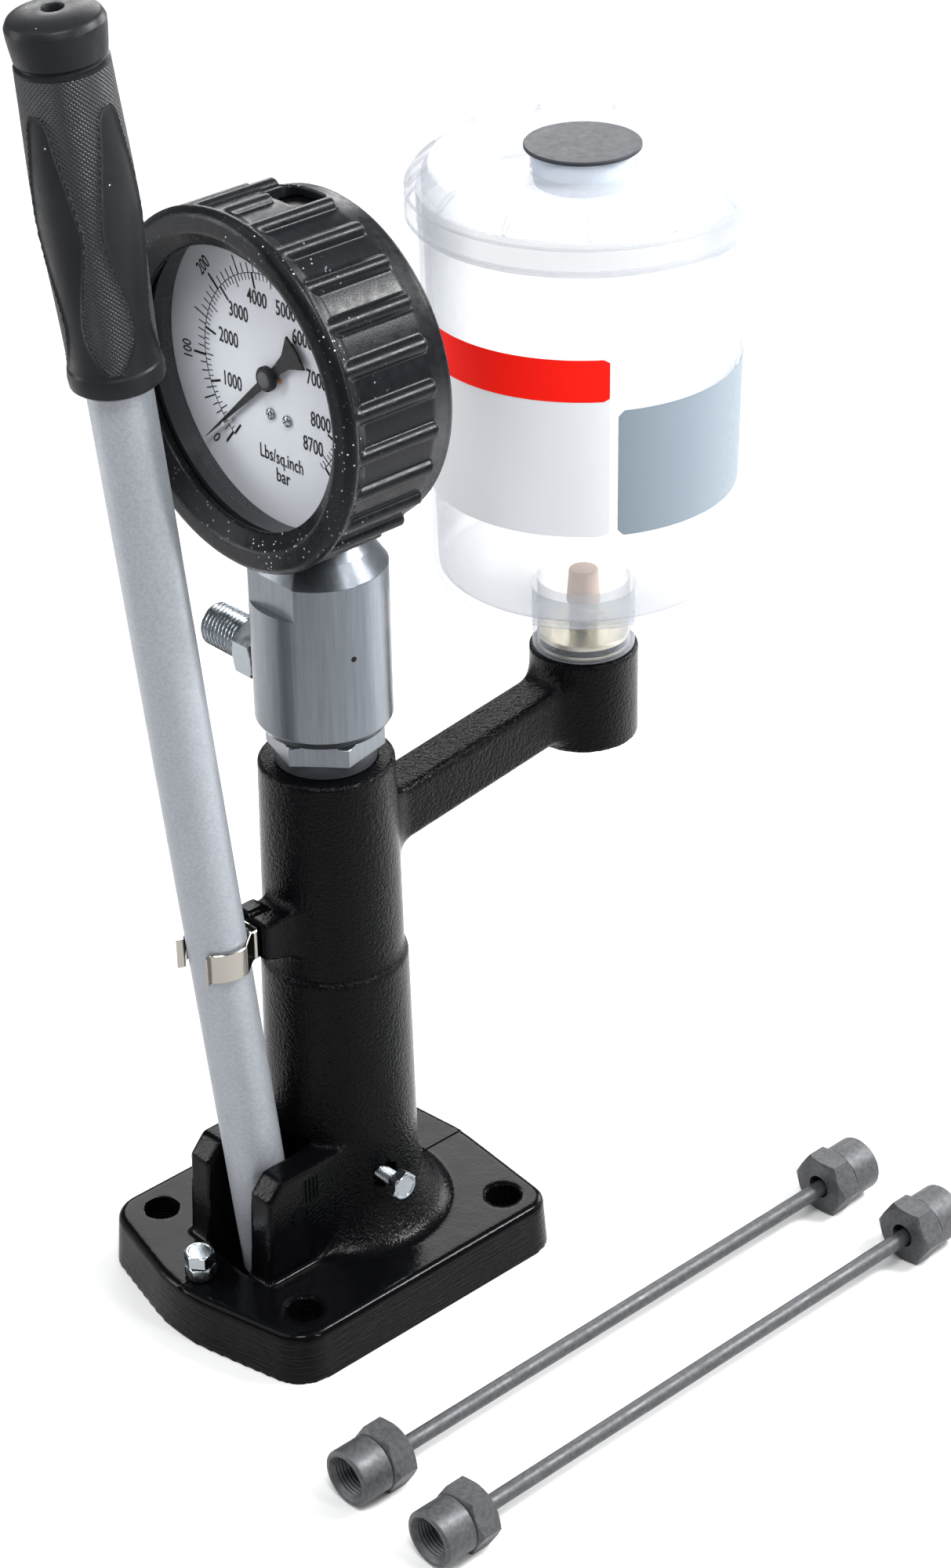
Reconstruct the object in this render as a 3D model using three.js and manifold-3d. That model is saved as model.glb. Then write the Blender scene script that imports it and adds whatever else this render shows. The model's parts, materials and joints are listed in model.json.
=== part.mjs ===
// A diesel injector tester: a cast stand with a hand lever at its foot, a high pressure pump in its column,
// a valve block with a pressure gauge and an outlet above it, a clear reservoir on an arm, and two test lines.
// Millimetres, +Z up. The origin is under the column, on the underside of the base.
// The lever and the face of the gauge are on the -X side, the reservoir is on the +X side, the outlet faces +Y.
import * as THREE from "three";
import { mergeVertices } from "three/addons/utils/BufferGeometryUtils.js";
import Module from "manifold-3d";

const wasm = await Module();
wasm.setup();

// Clearances
const seatGap = 0.3;
const overrun = 1;
const weldGap = 1e-4;

// Base plate
const plateHeight = 21;
const plateHalfWidth = 56.5;
const plateFrontReach = 83;
const plateRearReach = 61.5;
const plateFrontSlopeShare = 0.24;
const plateRearSlopeShare = 0.1;
const plateFrontCornerRadius = 15;
const plateRearCornerRadius = 12;
const plateFrontTipRadius = 70;
const plateRearTipRadius = 60;
const plateDraft = 1.5;
const plateEdgeRadius = 2.2;
const boltHoleRadius = 6.5;
const boltHoleFront = 54.8;
const boltHoleRear = 42.4;
const boltHoleSide = 40.9;

// Column
const columnHeight = 210.3;
const columnTopRadius = 24;
const columnStepHeight = 130;
const columnStepRise = 2.5;
const columnUpperFootRadius = 25.2;
const columnLowerTopRadius = 26.4;
const columnLowerFootRadius = 27.8;
const columnSkirtRadius = 36;
const columnSkirtHeight = 20;
const columnRimRadius = 1.2;
const columnBoreRadius = 17.5;

// Ears and the slot for the lever
const slotHalfWidth = 11.5;
const earThickness = 11;
const earFrontReach = 56.2;
const earFrontLean = 2.4;
const earHeight = 62.5;
const earChamfer = 7;
const slotFrontReach = 54;
const pocketFloor = 6;

// Lever pivot
const pivotReach = 40;
const pivotHeight = 44;
const pinRadius = 4;
const leverLean = THREE.MathUtils.degToRad(6.4);
const leverSwing = THREE.MathUtils.degToRad(80);

// Lever tube and its grip
const tubeRadius = 10.65;
const tubeWall = 2.6;
const tubeTail = 9;
const tubeLength = 448;
const gripStart = 328;
const gripEnd = 457;
const gripFlangeRadius = 15;
const gripNeckRadius = 14.2;
const gripBellyRadius = 15.9;
const gripTopRadius = 14.8;
const gripCapRadius = 15.3;
const gripFlangeLength = 9;
const gripCapLength = 20;
const gripGroove = 1.1;
const gripHangerRadius = 3;

// Crank on the lever's foot
const crankLength = 42;
const crankNoseRadius = 6;
const crankUpperOffset = 2;
const crankLowerOffset = 7;
const crankHalfWidth = 6.5;
const crankPlugLength = 45;

// Tappet, plunger and their spring
const noseRunningGap = 1.14;
const tappetFootRadius = 9.5;
const tappetFootHeight = 9;
const tappetHeight = 11;
const plungerRadius = 4;
const plungerReach = 4;
const plungerHeadRadius = 6;
const plungerHeadHeight = 3;
const keeperRadius = 9;
const keeperHeight = 3;
const springWireRadius = 1.4;
const springMeanRadius = 13.2;
const springCurls = 11;

// Pump body
const neckDepth = 42.3;
const neckFoot = columnHeight - neckDepth;
const barrelLength = 40;
const barrelFoot = neckFoot - barrelLength;
const barrelRadius = 9;
const neckGrooveDepth = 2;
const neckGrooveRise = 4;
const neckGrooveHeight = 8;
const neckGrooveLow = neckFoot + neckGrooveRise;
const neckGrooveHigh = neckGrooveLow + neckGrooveHeight;
const suctionPortRadius = 1.5;
const sealRingSpace = 5.3;
const pumpHexHeight = 8.6;
const pumpHexLow = columnHeight + sealRingSpace;
const pumpHexHigh = pumpHexLow + pumpHexHeight;
const pumpHexChamfer = 2.8;
const pumpHexAcrossFlats = 36;
const pumpHexTurn = THREE.MathUtils.degToRad(12.5);
const pumpWaistRadius = 14;
const pumpThreadRadius = 10.5;
const pumpThreadReach = 21.8;
const pumpTop = pumpHexHigh + pumpThreadReach;
const boreRoof = 6;
const plungerBoreTop = pumpTop - boreRoof;
const sealRingRadius = 17.9;

// Valve block
const blockFoot = pumpHexHigh + seatGap;
const blockRadius = 24;
const blockFootChamfer = 2;
const blockFootChamferHeight = 3.5;
const blockWallHeight = 61.2;
const blockConeHeight = 10.3;
const blockShoulder = blockFoot + blockWallHeight;
const blockTop = blockShoulder + blockConeHeight;
const blockTopRadius = 16.5;
const blockFlatAcross = 42;
const blockFlatHeight = 22;
const blockFlatLow = blockTop - blockFlatHeight;
const valveChamberRadius = 7;
const gaugePortRadius = 6.5;
const gaugePortDepth = 20;
const gaugePortLow = blockTop - gaugePortDepth;
const outletRise = 15.9;
const outletHeight = blockFoot + outletRise;
const outletThreadRadius = 7.7;
const outletPortDepth = 9;
const drillingRadius = 1.5;

// Delivery valve
const valveRadius = 5;
const valveLength = 9;
const valveFlute = 2.4;
const valveSpringWireRadius = 0.5;
const valveSpringMeanRadius = 3.6;
const valveSpringCurls = 6;

// Outlet adapter
const outletHexAcrossFlats = 21;
const outletHexStart = 26;
const outletHexEnd = 36.5;
const outletEnd = 58;
const outletStubRadius = 8;
const outletBoreRadius = 2;
const outletConeRadius = 4.5;
const outletWasherRadius = 10.4;

// Arm, boss and reservoir axis
const reservoirReach = 124.7;
const bossRadius = 20.1;
const bossDrop = 2.3;
const bossHeight = 36.1;
const bossTop = columnHeight - bossDrop;
const bossFoot = bossTop - bossHeight;
const bossRimRadius = 1.5;
const bossPortRadius = 8;
const bossPortDepth = 24;
const bossPortLow = bossTop - bossPortDepth;
const armHalfWidth = 9;
const armDrop = 25.9;
const armTopAtAxis = columnHeight - armDrop;
const armDepth = 21.6;
const armRiseShare = 0.1357;
const armEdgeRadius = 2.5;
const fuelDrillingRadius = 3;

// Fitting, filter and seal on the boss
const fittingDiscRadius = 16.9;
const fittingDiscHeight = 6;
const fittingTubeRadius = 5.2;
const fittingTubeHeight = 17;
const fittingTubeTop = bossTop + fittingTubeHeight;
const fittingNippleRadius = 3;
const fittingNippleHeight = 7;
const fittingNippleTop = fittingTubeTop + fittingNippleHeight;
const sealWireRadius = 0.95;
const filterFootRadius = 6.3;
const filterTopRadius = 5.3;
const filterHeight = 13.3;
const filterTop = fittingTubeTop + filterHeight;

// Reservoir
const wall = 1.8;
const neckRadius = 18.8;
const neckHeight = 28;
const floorDish = 4.4;
const neckTop = bossTop + neckHeight;
const floorRimHeight = neckTop + floorDish;
const bodyFootRadius = 54.2;
const bodyCornerRadius = 4;
const bodyTopRadius = 57.2;
const bodyHeight = 145.6;
const bodyTop = floorRimHeight + bodyHeight;

// Lid
const lidRadius = 61.4;
const lidFootRadius = 60.7;
const lidSkirt = 10.5;
const lidShoulderRise = 2.5;
const lidFoot = bodyTop - lidSkirt;
const lidShoulder = bodyTop + lidShoulderRise;
const lidBrowRadius = 58.5;
const lidBrowRise = 3.5;
const lidBrowHeight = lidShoulder + lidBrowRise;
const lidRimRadius = 53;
const lidRimRise = 3.5;
const lidRimHeight = lidBrowHeight + lidRimRise;
const lidDishRadius = 27;
const lidDishDepth = 3.5;
const lidDishHeight = lidRimHeight - lidDishDepth;

// Vent plug in the lid
const ventDepth = 5.5;
const ventHeight = 12.3;
const ventFoot = lidDishHeight - ventDepth;
const ventTop = ventFoot + ventHeight;
const ventFootRadius = 16.8;
const ventTopRadius = 18.7;
const ventCapRadius = 20.4;
const ventCapHeight = 1.6;

// Gauge, on an axis along X
const caseRadius = 54;
const gaugeRise = 7.6;
const gaugeHeight = blockTop + caseRadius + gaugeRise;
const caseWall = 1.2;
const caseBack = 8.6;
const caseFront = 23.2;
const bootGap = 0.3;
const bootFront = 36;
const bootBead = 33;
const bootBeadRise = 8;
const bootBeadRadius = caseRadius + bootBeadRise;
const bootLipOverlap = 6;
const bootLipRadius = caseRadius - bootLipOverlap;
const bootLipDepth = 5;
const bootWall = 4;
const bootWallRadius = caseRadius + bootWall;
const bootBackWall = 2.5;
const bootBackRadius = caseRadius + bootBackWall;
const bootBack = 12;
const bootBackOverlap = 12;
const bootBackOpening = caseRadius - bootBackOverlap;
const bootTurn = THREE.MathUtils.degToRad(-2);
const ribCount = 26;
const ribRadius = 2.7;
const ribFront = 32;
const ribBack = 2;
const shortRibBack = -12;
const hangSlotHalfLength = 10;
const hangSlotFront = 9;
const hangSlotBack = 5.5;
const hangSlotCorner = 4;
const stemOpeningRadius = 13;
const bezelRise = 1.2;
const bezelWidth = 4.7;
const bezelRadius = caseRadius + bezelRise;
const bezelOpening = bezelRadius - bezelWidth;
const bezelFront = 29.6;
const glassInset = 0.6;
const glassRadius = caseRadius - glassInset;
const glassThickness = 2.2;
const glassFront = 27.4;
const dialInset = 1.7;
const dialRadius = caseRadius - dialInset;
const dialThickness = 0.8;
const dialFace = 15.4;
const dialBoreRadius = 2.4;

// Gauge works
const stemThreadRadius = 6.2;
const stemThreadFoot = gaugePortLow + 2 * seatGap;
const stemHexAcrossFlats = 20;
const stemHexHeight = 5;
const stemNeckRadius = 7;
const stemBlockHalfWidth = 9;
const stemBlockHalfDepth = 7;
const stemBlockRise = 5.9;
const stemBlockHeight = 22.5;
const stemBlockLow = gaugeHeight - caseRadius + stemBlockRise;
const stemBlockHigh = stemBlockLow + stemBlockHeight;
const stemPostHalfWidth = 5;
const stemPostDepth = 4;
const stemBoreRadius = 1.5;
const bourdonInset = 23;
const bourdonRadius = caseRadius - bourdonInset;
const bourdonHalfWidth = 5;
const bourdonHalfThickness = 1.6;
const bourdonSweep = THREE.MathUtils.degToRad(245);
const bourdonCentre = 3;
const worksPlateHalfWidth = 13;
const worksPlateHalfHeight = 17;
const dialFootRadius = 2.6;
const worksPlateThickness = 1.5;
const worksFront = 11.5;
const worksBack = 4;
const worksPillarRadius = 1.6;
const spindleRadius = 1;
const linkThickness = 1.2;
const linkWidth = 2.4;

// Pointer
const pointerInset = 6.5;
const pointerTip = caseRadius - pointerInset;
const pointerTail = 20;
const pointerHubRadius = 3.4;
const pointerFace = 17.6;
const pointerThickness = 0.8;
const pointerHubFront = 19.4;
const pointerRest = THREE.MathUtils.degToRad(47.5);
const stopPinRadius = 0.7;
const stopPinReach = 32;
const dialScrewRadius = 1.9;
const dialScrewHeight = 0.7;
const dialShankRadius = 1;
const dialScrewOffset = 4.2;
const dialScrewShift = 2.6;
const dialScrewDrop = 13.6;

// Clip for the stored lever and its lug
const clipHeight = 151;
const clipAxis = pivotReach + (clipHeight - pivotHeight) * Math.tan(leverLean);
const clipHalfHeight = 5.7;
const clipThickness = 0.8;
const clipHalfBase = 7;
const clipOpening = THREE.MathUtils.degToRad(24);
const clipLipRadius = 2.4;
const lugStandOff = 13.7;
const lugReach = clipAxis - lugStandOff;
const lugHalfWidth = 7.5;
const lugHalfHeight = 6.5;
const lugLow = clipHeight - lugHalfHeight;
const lugHigh = clipHeight + lugHalfHeight;
const lugRootGrow = 3;
const lugRootDrop = 3;
const clipScrewHeadRadius = 3.4;
const clipScrewHeadHeight = 1.2;
const clipScrewRadius = 1.9;
const clipScrewDepth = 9;

// Hexagon headed screws, M6
const screwRadius = 3;
const screwHeadAcrossFlats = 10;
const screwHeadHeight = 4;
const lockNutHeight = 5;
const stopScrewReach = 69.3;
const stopScrewLength = 22;
const guideScrewReach = 3;
const guideScrewHeight = 46;
const guideScrewSeat = 27.4;
const guideScrewHeadStart = 34;
const guideScrewDepth = 9;
const guideSpotRadius = 8;

// Test lines
const linePipeRadius = 3;
const lineNear = 111;
const lineFar = 152.8;
const lineFront = 97;
const lineRear = 163;
const nutAcrossFlats = 22;
const nutHexLength = 10;
const nutCollarLength = 13;
const nutCollarRadius = 10.5;
const nutMouthRadius = 7.6;
const nutMouthChamfer = 1;
const nutHoleRadius = 4.5;
const nutMouthDepth = 15;
const nutPipeDrop = 1.2;
const lineConeRadius = 5.9;
const lineConeLength = 6;

// Facets
const coarseSides = 10;
const smallSides = 14;
const middleSides = 22;
const largeSides = 40;
const cornerSteps = 4;

// Looks: colour, roughness, metalness
const looks = {
  blackPaint: [0x121315, 0.35, 0.1],
  zinc: [0xa9adb0, 0.35, 0.9],
  brightZinc: [0xc8cdd0, 0.28, 0.9],
  steel: [0x8d9094, 0.4, 0.9],
  darkSteel: [0x3a3c3f, 0.5, 0.7],
  springSteel: [0xb9b7b0, 0.22, 1],
  tubeSteel: [0x9ea1a5, 0.5, 0.8],
  brass: [0xb89a56, 0.35, 0.9],
  copper: [0xa9683f, 0.4, 0.9],
  bronze: [0xb08c6a, 0.8, 0.2],
  rubber: [0x202224, 0.75, 0],
  clearPlastic: [0xf2f4f5, 0.35, 0],
  blackPlastic: [0x1c1d20, 0.6, 0],
  dialWhite: [0xe9ebee, 0.45, 0],
  glass: [0xf4f8f8, 0.05, 0],
  black: [0x0c0c0d, 0.5, 0],
};

// A closed mesh as a solid, its shared corners merged, its slivers dropped and its faces turned out.
function solid(geometry, place = new THREE.Matrix4()) {
  const loose = geometry.index ? geometry.toNonIndexed() : geometry;
  const bare = new THREE.BufferGeometry();
  bare.setAttribute("position", loose.getAttribute("position").clone());
  bare.applyMatrix4(place);
  const merged = mergeVertices(bare, weldGap);
  const spots = merged.getAttribute("position");
  const corners = merged.index.array;
  const kept = [];
  let volume = 0;
  const a = new THREE.Vector3();
  const b = new THREE.Vector3();
  const c = new THREE.Vector3();
  for (let i = 0; i < corners.length; i += 3) {
    const [p, q, r] = [corners[i], corners[i + 1], corners[i + 2]];
    if (p === q || q === r || r === p) continue;
    kept.push(p, q, r);
    a.fromBufferAttribute(spots, p);
    b.fromBufferAttribute(spots, q);
    c.fromBufferAttribute(spots, r);
    volume += a.dot(b.cross(c));
  }
  if (volume < 0) kept.reverse();
  return new wasm.Manifold(
    new wasm.Mesh({ numProp: 3, vertProperties: spots.array, triVerts: new Uint32Array(kept) }),
  );
}

// Placements: a shape made along +Z is set along an axis of the part, with its heights kept as coordinates.
const at = (x, y, z) => new THREE.Matrix4().makeTranslation(x, y, z);
const alongX = (x, y, z) => at(x, y, z).multiply(new THREE.Matrix4().makeRotationY(Math.PI / 2));
const alongY = (x, y, z) => at(x, y, z).multiply(new THREE.Matrix4().makeRotationX(-Math.PI / 2));
const upright = at(0, 0, 0);

// A profile of [radius, height] points turned about +Z. A profile clear of the axis closes on itself.
function turned(profile, sides, place) {
  const points = profile.map(([radius, height]) => new THREE.Vector2(radius, height));
  if (profile[0][0] > 0) points.push(points[0].clone());
  return solid(new THREE.LatheGeometry(points, sides).rotateX(Math.PI / 2), place);
}

// A plain cylinder from one height to another.
function round(radius, low, high, sides, place) {
  return turned([[0, low], [radius, low], [radius, high], [0, high]], sides, place);
}

// A plain ring.
function ring(outer, inner, low, high, sides, place) {
  return turned([[inner, low], [outer, low], [outer, high], [inner, high]], sides, place);
}

// A flat outline of Vector2 points drawn up from one height to another.
function drawn(outline, low, high, place = upright) {
  const shape = new THREE.Shape(outline);
  const body = new THREE.ExtrudeGeometry(shape, { depth: high - low, bevelEnabled: false });
  return solid(body.translate(0, 0, low), place);
}

// A box between two corners.
function block(low, high, place) {
  const size = low.map((value, i) => high[i] - value);
  const middle = low.map((value, i) => (high[i] + value) / 2);
  return solid(new THREE.BoxGeometry(...size).translate(...middle), place);
}

// A round rod between two points.
function rod(from, to, radius, sides) {
  const start = new THREE.Vector3(...from);
  const run = new THREE.Vector3(...to).sub(start);
  const turn = new THREE.Quaternion().setFromUnitVectors(new THREE.Vector3(0, 0, 1), run.clone().normalize());
  const place = new THREE.Matrix4().compose(start, turn, new THREE.Vector3(1, 1, 1));
  return round(radius, 0, run.length(), sides, place);
}

// A skin over rings of points that share one count, closed by a flat face at each end.
function lofted(rings, place) {
  const spots = rings.flat();
  const count = rings[0].length;
  const faces = [];
  for (let k = 0; k + 1 < rings.length; k += 1) {
    for (let i = 0; i < count; i += 1) {
      const [p, q] = [k * count + i, k * count + ((i + 1) % count)];
      faces.push(p, q, q + count, p, q + count, p + count);
    }
  }
  const flat = rings[0].map((spot) => new THREE.Vector2(spot.x, spot.y));
  const last = (rings.length - 1) * count;
  const clockwise = THREE.ShapeUtils.isClockWise(flat);
  for (const [p, q, r] of THREE.ShapeUtils.triangulateShape(flat, [])) {
    if (clockwise) faces.push(p, q, r, last + p, last + r, last + q);
    else faces.push(p, r, q, last + p, last + q, last + r);
  }
  const body = new THREE.BufferGeometry().setFromPoints(spots);
  body.setIndex(faces);
  return solid(body, place);
}

// A polygon with its corners rounded: each corner is [x, y, radius].
function roundedOutline(corners, steps = cornerSteps) {
  const points = [];
  corners.forEach(([x, y, radius], i) => {
    const here = new THREE.Vector2(x, y);
    const before = new THREE.Vector2(...corners.at(i - 1)).sub(here).normalize();
    const after = new THREE.Vector2(...corners[(i + 1) % corners.length]).sub(here).normalize();
    const half = Math.acos(before.dot(after)) / 2;
    const bisector = before.clone().add(after).normalize();
    const centre = here.clone().addScaledVector(bisector, radius / Math.sin(half));
    const start = here.clone().addScaledVector(before, radius / Math.tan(half)).sub(centre);
    const end = here.clone().addScaledVector(after, radius / Math.tan(half)).sub(centre);
    const sweep = Math.atan2(start.cross(end), start.dot(end));
    for (let k = 0; k <= steps; k += 1) {
      points.push(start.clone().rotateAround(new THREE.Vector2(), (sweep * k) / steps).add(centre));
    }
  });
  return points;
}

// A regular hexagon by its width across flats, its first corner at an angle.
function hexagon(acrossFlats, turn = 0) {
  const reach = acrossFlats / Math.sqrt(3);
  return Array.from({ length: 6 }, (_, i) => {
    const angle = turn + (i * Math.PI) / 3;
    return new THREE.Vector2(reach * Math.cos(angle), reach * Math.sin(angle));
  });
}

// A hexagon head or nut with its corners turned off at the ends that are named.
function hexHead(acrossFlats, low, high, place, { turn = 0, lowCut = true, highCut = true } = {}) {
  const corner = acrossFlats / Math.sqrt(3) + seatGap;
  const face = acrossFlats * 0.475;
  const cut = (corner - face) * 0.5;
  const profile = [[0, low], [lowCut ? face : corner, low]];
  if (lowCut) profile.push([corner, low + cut]);
  if (highCut) profile.push([corner, high - cut]);
  profile.push([highCut ? face : corner, high], [0, high]);
  return drawn(hexagon(acrossFlats, turn), low, high, place).intersect(turned(profile, middleSides, place));
}

// A coiled wire spring about +Z as one unbroken tube. The least gap between its curls is measured and printed.
function coil(name, meanRadius, wireRadius, low, high, curls) {
  const rise = high - low - 2 * wireRadius;
  class Helix extends THREE.Curve {
    getPoint(t, target = new THREE.Vector3()) {
      const angle = 2 * Math.PI * curls * t;
      return target.set(meanRadius * Math.cos(angle), meanRadius * Math.sin(angle), low + wireRadius + rise * t);
    }
  }
  const path = new Helix();
  const section = Array.from({ length: 5 }, (_, i) => {
    const angle = (2 * Math.PI * i) / 5;
    return new THREE.Vector2(wireRadius * Math.cos(angle), wireRadius * Math.sin(angle));
  });
  const steps = 8 * curls;
  const points = path.getPoints(steps);
  let least = Infinity;
  points.forEach((point, i) => {
    for (let k = i + 5; k < points.length; k += 1) {
      least = Math.min(least, point.distanceTo(points[k]) - 2 * wireRadius);
    }
  });
  console.log(`${name}: least gap between curls ${least.toFixed(2)}`);
  return solid(new THREE.ExtrudeGeometry(new THREE.Shape(section), { steps, extrudePath: path }));
}

const tester = new THREE.Group();

// A named mesh with a look of its own, added to a group.
function piece(name, look, body, group = tester) {
  const { vertProperties, triVerts } = body.getMesh();
  const geometry = new THREE.BufferGeometry();
  geometry.setAttribute("position", new THREE.BufferAttribute(new Float32Array(vertProperties), 3));
  geometry.setIndex(new THREE.BufferAttribute(new Uint32Array(triVerts), 1));
  geometry.computeVertexNormals();
  const [color, roughness, metalness] = looks[look];
  const mesh = new THREE.Mesh(geometry, new THREE.MeshStandardMaterial({ color, roughness, metalness }));
  mesh.name = name;
  group.add(mesh);
}

// Places that several pieces share
const columnBody = neckRadiusOf(columnBoreRadius);
const pinReach = slotHalfWidth + earThickness;
const halfSwing = leverSwing / 2;
const noseRest = pivotHeight - crankLength * Math.sin(halfSwing);
const plungerStroke = 2 * crankLength * Math.sin(halfSwing);
const tappetFoot = noseRest + crankNoseRadius + noseRunningGap;
const tappetTop = tappetFoot + tappetFootHeight + tappetHeight;
const keeperTop = tappetTop + keeperHeight;
const plungerTop = neckFoot + plungerReach;
const neckInner = neckRadius - wall;

// The running radius of a piece that fits a bore.
function neckRadiusOf(bore) {
  return bore - seatGap;
}

// Base casting: plate, column, ears, clip lug, arm and boss in one
function plateOutline(inset) {
  const half = plateHalfWidth - inset;
  const front = -plateFrontReach + inset;
  const rear = plateRearReach - inset;
  const frontCorner = front + plateFrontSlopeShare * half;
  const rearCorner = rear - plateRearSlopeShare * half;
  return roundedOutline([
    [front, 0, plateFrontTipRadius],
    [frontCorner, -half, plateFrontCornerRadius],
    [rearCorner, -half, plateRearCornerRadius],
    [rear, 0, plateRearTipRadius],
    [rearCorner, half, plateRearCornerRadius],
    [frontCorner, half, plateFrontCornerRadius],
  ]);
}

function plate() {
  const levels = [
    [0, 0],
    [plateDraft, plateHeight - plateEdgeRadius],
    [plateDraft + plateEdgeRadius * 0.3, plateHeight - plateEdgeRadius * 0.3],
    [plateDraft + plateEdgeRadius, plateHeight],
  ];
  return lofted(levels.map(([inset, z]) => plateOutline(inset).map((p) => new THREE.Vector3(p.x, p.y, z))));
}

function column() {
  const skirtTop = plateHeight + columnSkirtHeight;
  const skirtSpread = columnSkirtRadius - columnLowerFootRadius;
  return turned(
    [
      [0, plateHeight - overrun],
      [columnSkirtRadius, plateHeight - overrun],
      [columnSkirtRadius, plateHeight],
      [columnLowerFootRadius + skirtSpread * 0.45, plateHeight + columnSkirtHeight * 0.2],
      [columnLowerFootRadius + skirtSpread * 0.15, plateHeight + columnSkirtHeight * 0.5],
      [columnLowerFootRadius, skirtTop],
      [columnLowerTopRadius, columnStepHeight],
      [columnUpperFootRadius, columnStepHeight + columnStepRise],
      [columnTopRadius, columnHeight - columnRimRadius],
      [columnTopRadius - columnRimRadius, columnHeight],
      [0, columnHeight],
    ],
    largeSides,
  );
}

function ear(side) {
  const inner = slotHalfWidth * side;
  const outer = pinReach * side;
  const lean = earFrontLean / (earHeight - plateHeight);
  const chamferFoot = earHeight - earChamfer;
  const front = (z) => -earFrontReach + lean * (z - plateHeight);
  // Drawn in X and Z, then set across the slot.
  const outline = [
    [front(plateHeight - overrun), plateHeight - overrun],
    [0, plateHeight - overrun],
    [0, earHeight],
    [front(chamferFoot) + earChamfer, earHeight],
    [front(chamferFoot), chamferFoot],
  ].map(([x, z]) => new THREE.Vector2(x, -z));
  const [low, high] = side > 0 ? [inner, outer] : [outer, inner];
  return drawn(outline, low, high, alongY(0, 0, 0));
}

function lug() {
  const ringAt = (x, grow, drop) => roundedOutline([
    [lugLow - grow - drop, -lugHalfWidth - grow / 2, overrun],
    [lugHigh + grow, -lugHalfWidth - grow / 2, overrun],
    [lugHigh + grow, lugHalfWidth + grow / 2, overrun],
    [lugLow - grow - drop, lugHalfWidth + grow / 2, overrun],
  ], 2).map((p) => new THREE.Vector3(-p.x, p.y, x));
  return lofted(
    [
      ringAt(-lugReach, 0, 0),
      ringAt(-columnLowerTopRadius, 0, lugRootDrop),
      ringAt(-columnBoreRadius - overrun, lugRootGrow, lugRootDrop),
    ],
    alongX(0, 0, 0),
  );
}

function arm() {
  const ringAt = (x) => {
    const top = armTopAtAxis + armRiseShare * x;
    return roundedOutline([
      [top - armDepth, -armHalfWidth, armEdgeRadius],
      [top, -armHalfWidth, armEdgeRadius],
      [top, armHalfWidth, armEdgeRadius],
      [top - armDepth, armHalfWidth, armEdgeRadius],
    ], 2).map((p) => new THREE.Vector3(-p.x, p.y, x));
  };
  return lofted([ringAt(columnBoreRadius + overrun), ringAt(reservoirReach)], alongX(0, 0, 0));
}

function boss() {
  return turned(
    [
      [0, bossFoot],
      [bossRadius - bossRimRadius, bossFoot],
      [bossRadius, bossFoot + bossRimRadius],
      [bossRadius, bossTop - bossRimRadius / 2],
      [bossRadius - bossRimRadius / 2, bossTop],
      [0, bossTop],
    ],
    largeSides,
    at(reservoirReach, 0, 0),
  );
}

// The space for the lever's foot and crank, open above between the ears.
function crankSpace() {
  const wallRoof = earHeight - seatGap;
  const roofRise = (columnLowerFootRadius - columnBoreRadius) * Math.tan(halfSwing);
  const outline = [
    [-slotFrontReach, pocketFloor],
    [0, pocketFloor],
    [0, wallRoof + roofRise],
    [-columnBoreRadius, wallRoof + roofRise],
    [-columnLowerFootRadius, wallRoof],
    [-slotFrontReach, wallRoof],
  ].map(([x, z]) => new THREE.Vector2(x, -z));
  return drawn(outline, -slotHalfWidth, slotHalfWidth, alongY(0, 0, 0));
}

function baseCasting() {
  const throughPlate = plateHeight + overrun;
  const armMiddle = (x) => armTopAtAxis + armRiseShare * x - armDepth / 2;
  let body = plate().add(column()).add(ear(1)).add(ear(-1)).add(lug()).add(arm()).add(boss());
  const cuts = [
    round(columnBoreRadius, pocketFloor, columnHeight + overrun, middleSides, upright),
    crankSpace(),
    round(pinRadius + seatGap, -pinReach - overrun, pinReach + overrun, smallSides, alongY(-pivotReach, 0, pivotHeight)),
    round(screwRadius + seatGap, -overrun, throughPlate, coarseSides, at(-stopScrewReach, 0, 0)),
    round(screwRadius + seatGap, -columnSkirtRadius, 0, coarseSides, alongY(-guideScrewReach, 0, guideScrewHeight)),
    round(guideSpotRadius, -columnSkirtRadius, -guideScrewSeat, smallSides, alongY(-guideScrewReach, 0, guideScrewHeight)),
    round(clipScrewRadius + seatGap, -lugReach - overrun, -columnBoreRadius, coarseSides, alongX(0, 0, clipHeight)),
    round(bossPortRadius, bossPortLow, bossTop + overrun, smallSides, at(reservoirReach, 0, 0)),
    rod([0, 0, armMiddle(0)], [reservoirReach, 0, armMiddle(reservoirReach)], fuelDrillingRadius, coarseSides),
  ];
  for (const x of [-boltHoleFront, boltHoleRear]) {
    for (const y of [-boltHoleSide, boltHoleSide]) {
      cuts.push(round(boltHoleRadius, -overrun, throughPlate, middleSides, at(x, y, 0)));
    }
  }
  for (const cut of cuts) body = body.subtract(cut);
  return body;
}

piece("base_casting", "blackPaint", baseCasting());
piece("lever_pin", "steel", round(pinRadius, -pinReach + seatGap, pinReach - seatGap, smallSides,
  alongY(-pivotReach, 0, pivotHeight)));

// Lever: made upright about the pivot, then leaned
const lever = new THREE.Group();
lever.position.set(-pivotReach, 0, pivotHeight);
lever.rotation.y = -leverLean;
tester.add(lever);

const crossBore = () => round(pinRadius + seatGap, -tubeRadius - overrun, tubeRadius + overrun, smallSides,
  alongY(0, 0, 0));
const tubeBore = tubeRadius - tubeWall;
const fingerAngle = -halfSwing - leverLean;

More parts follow.
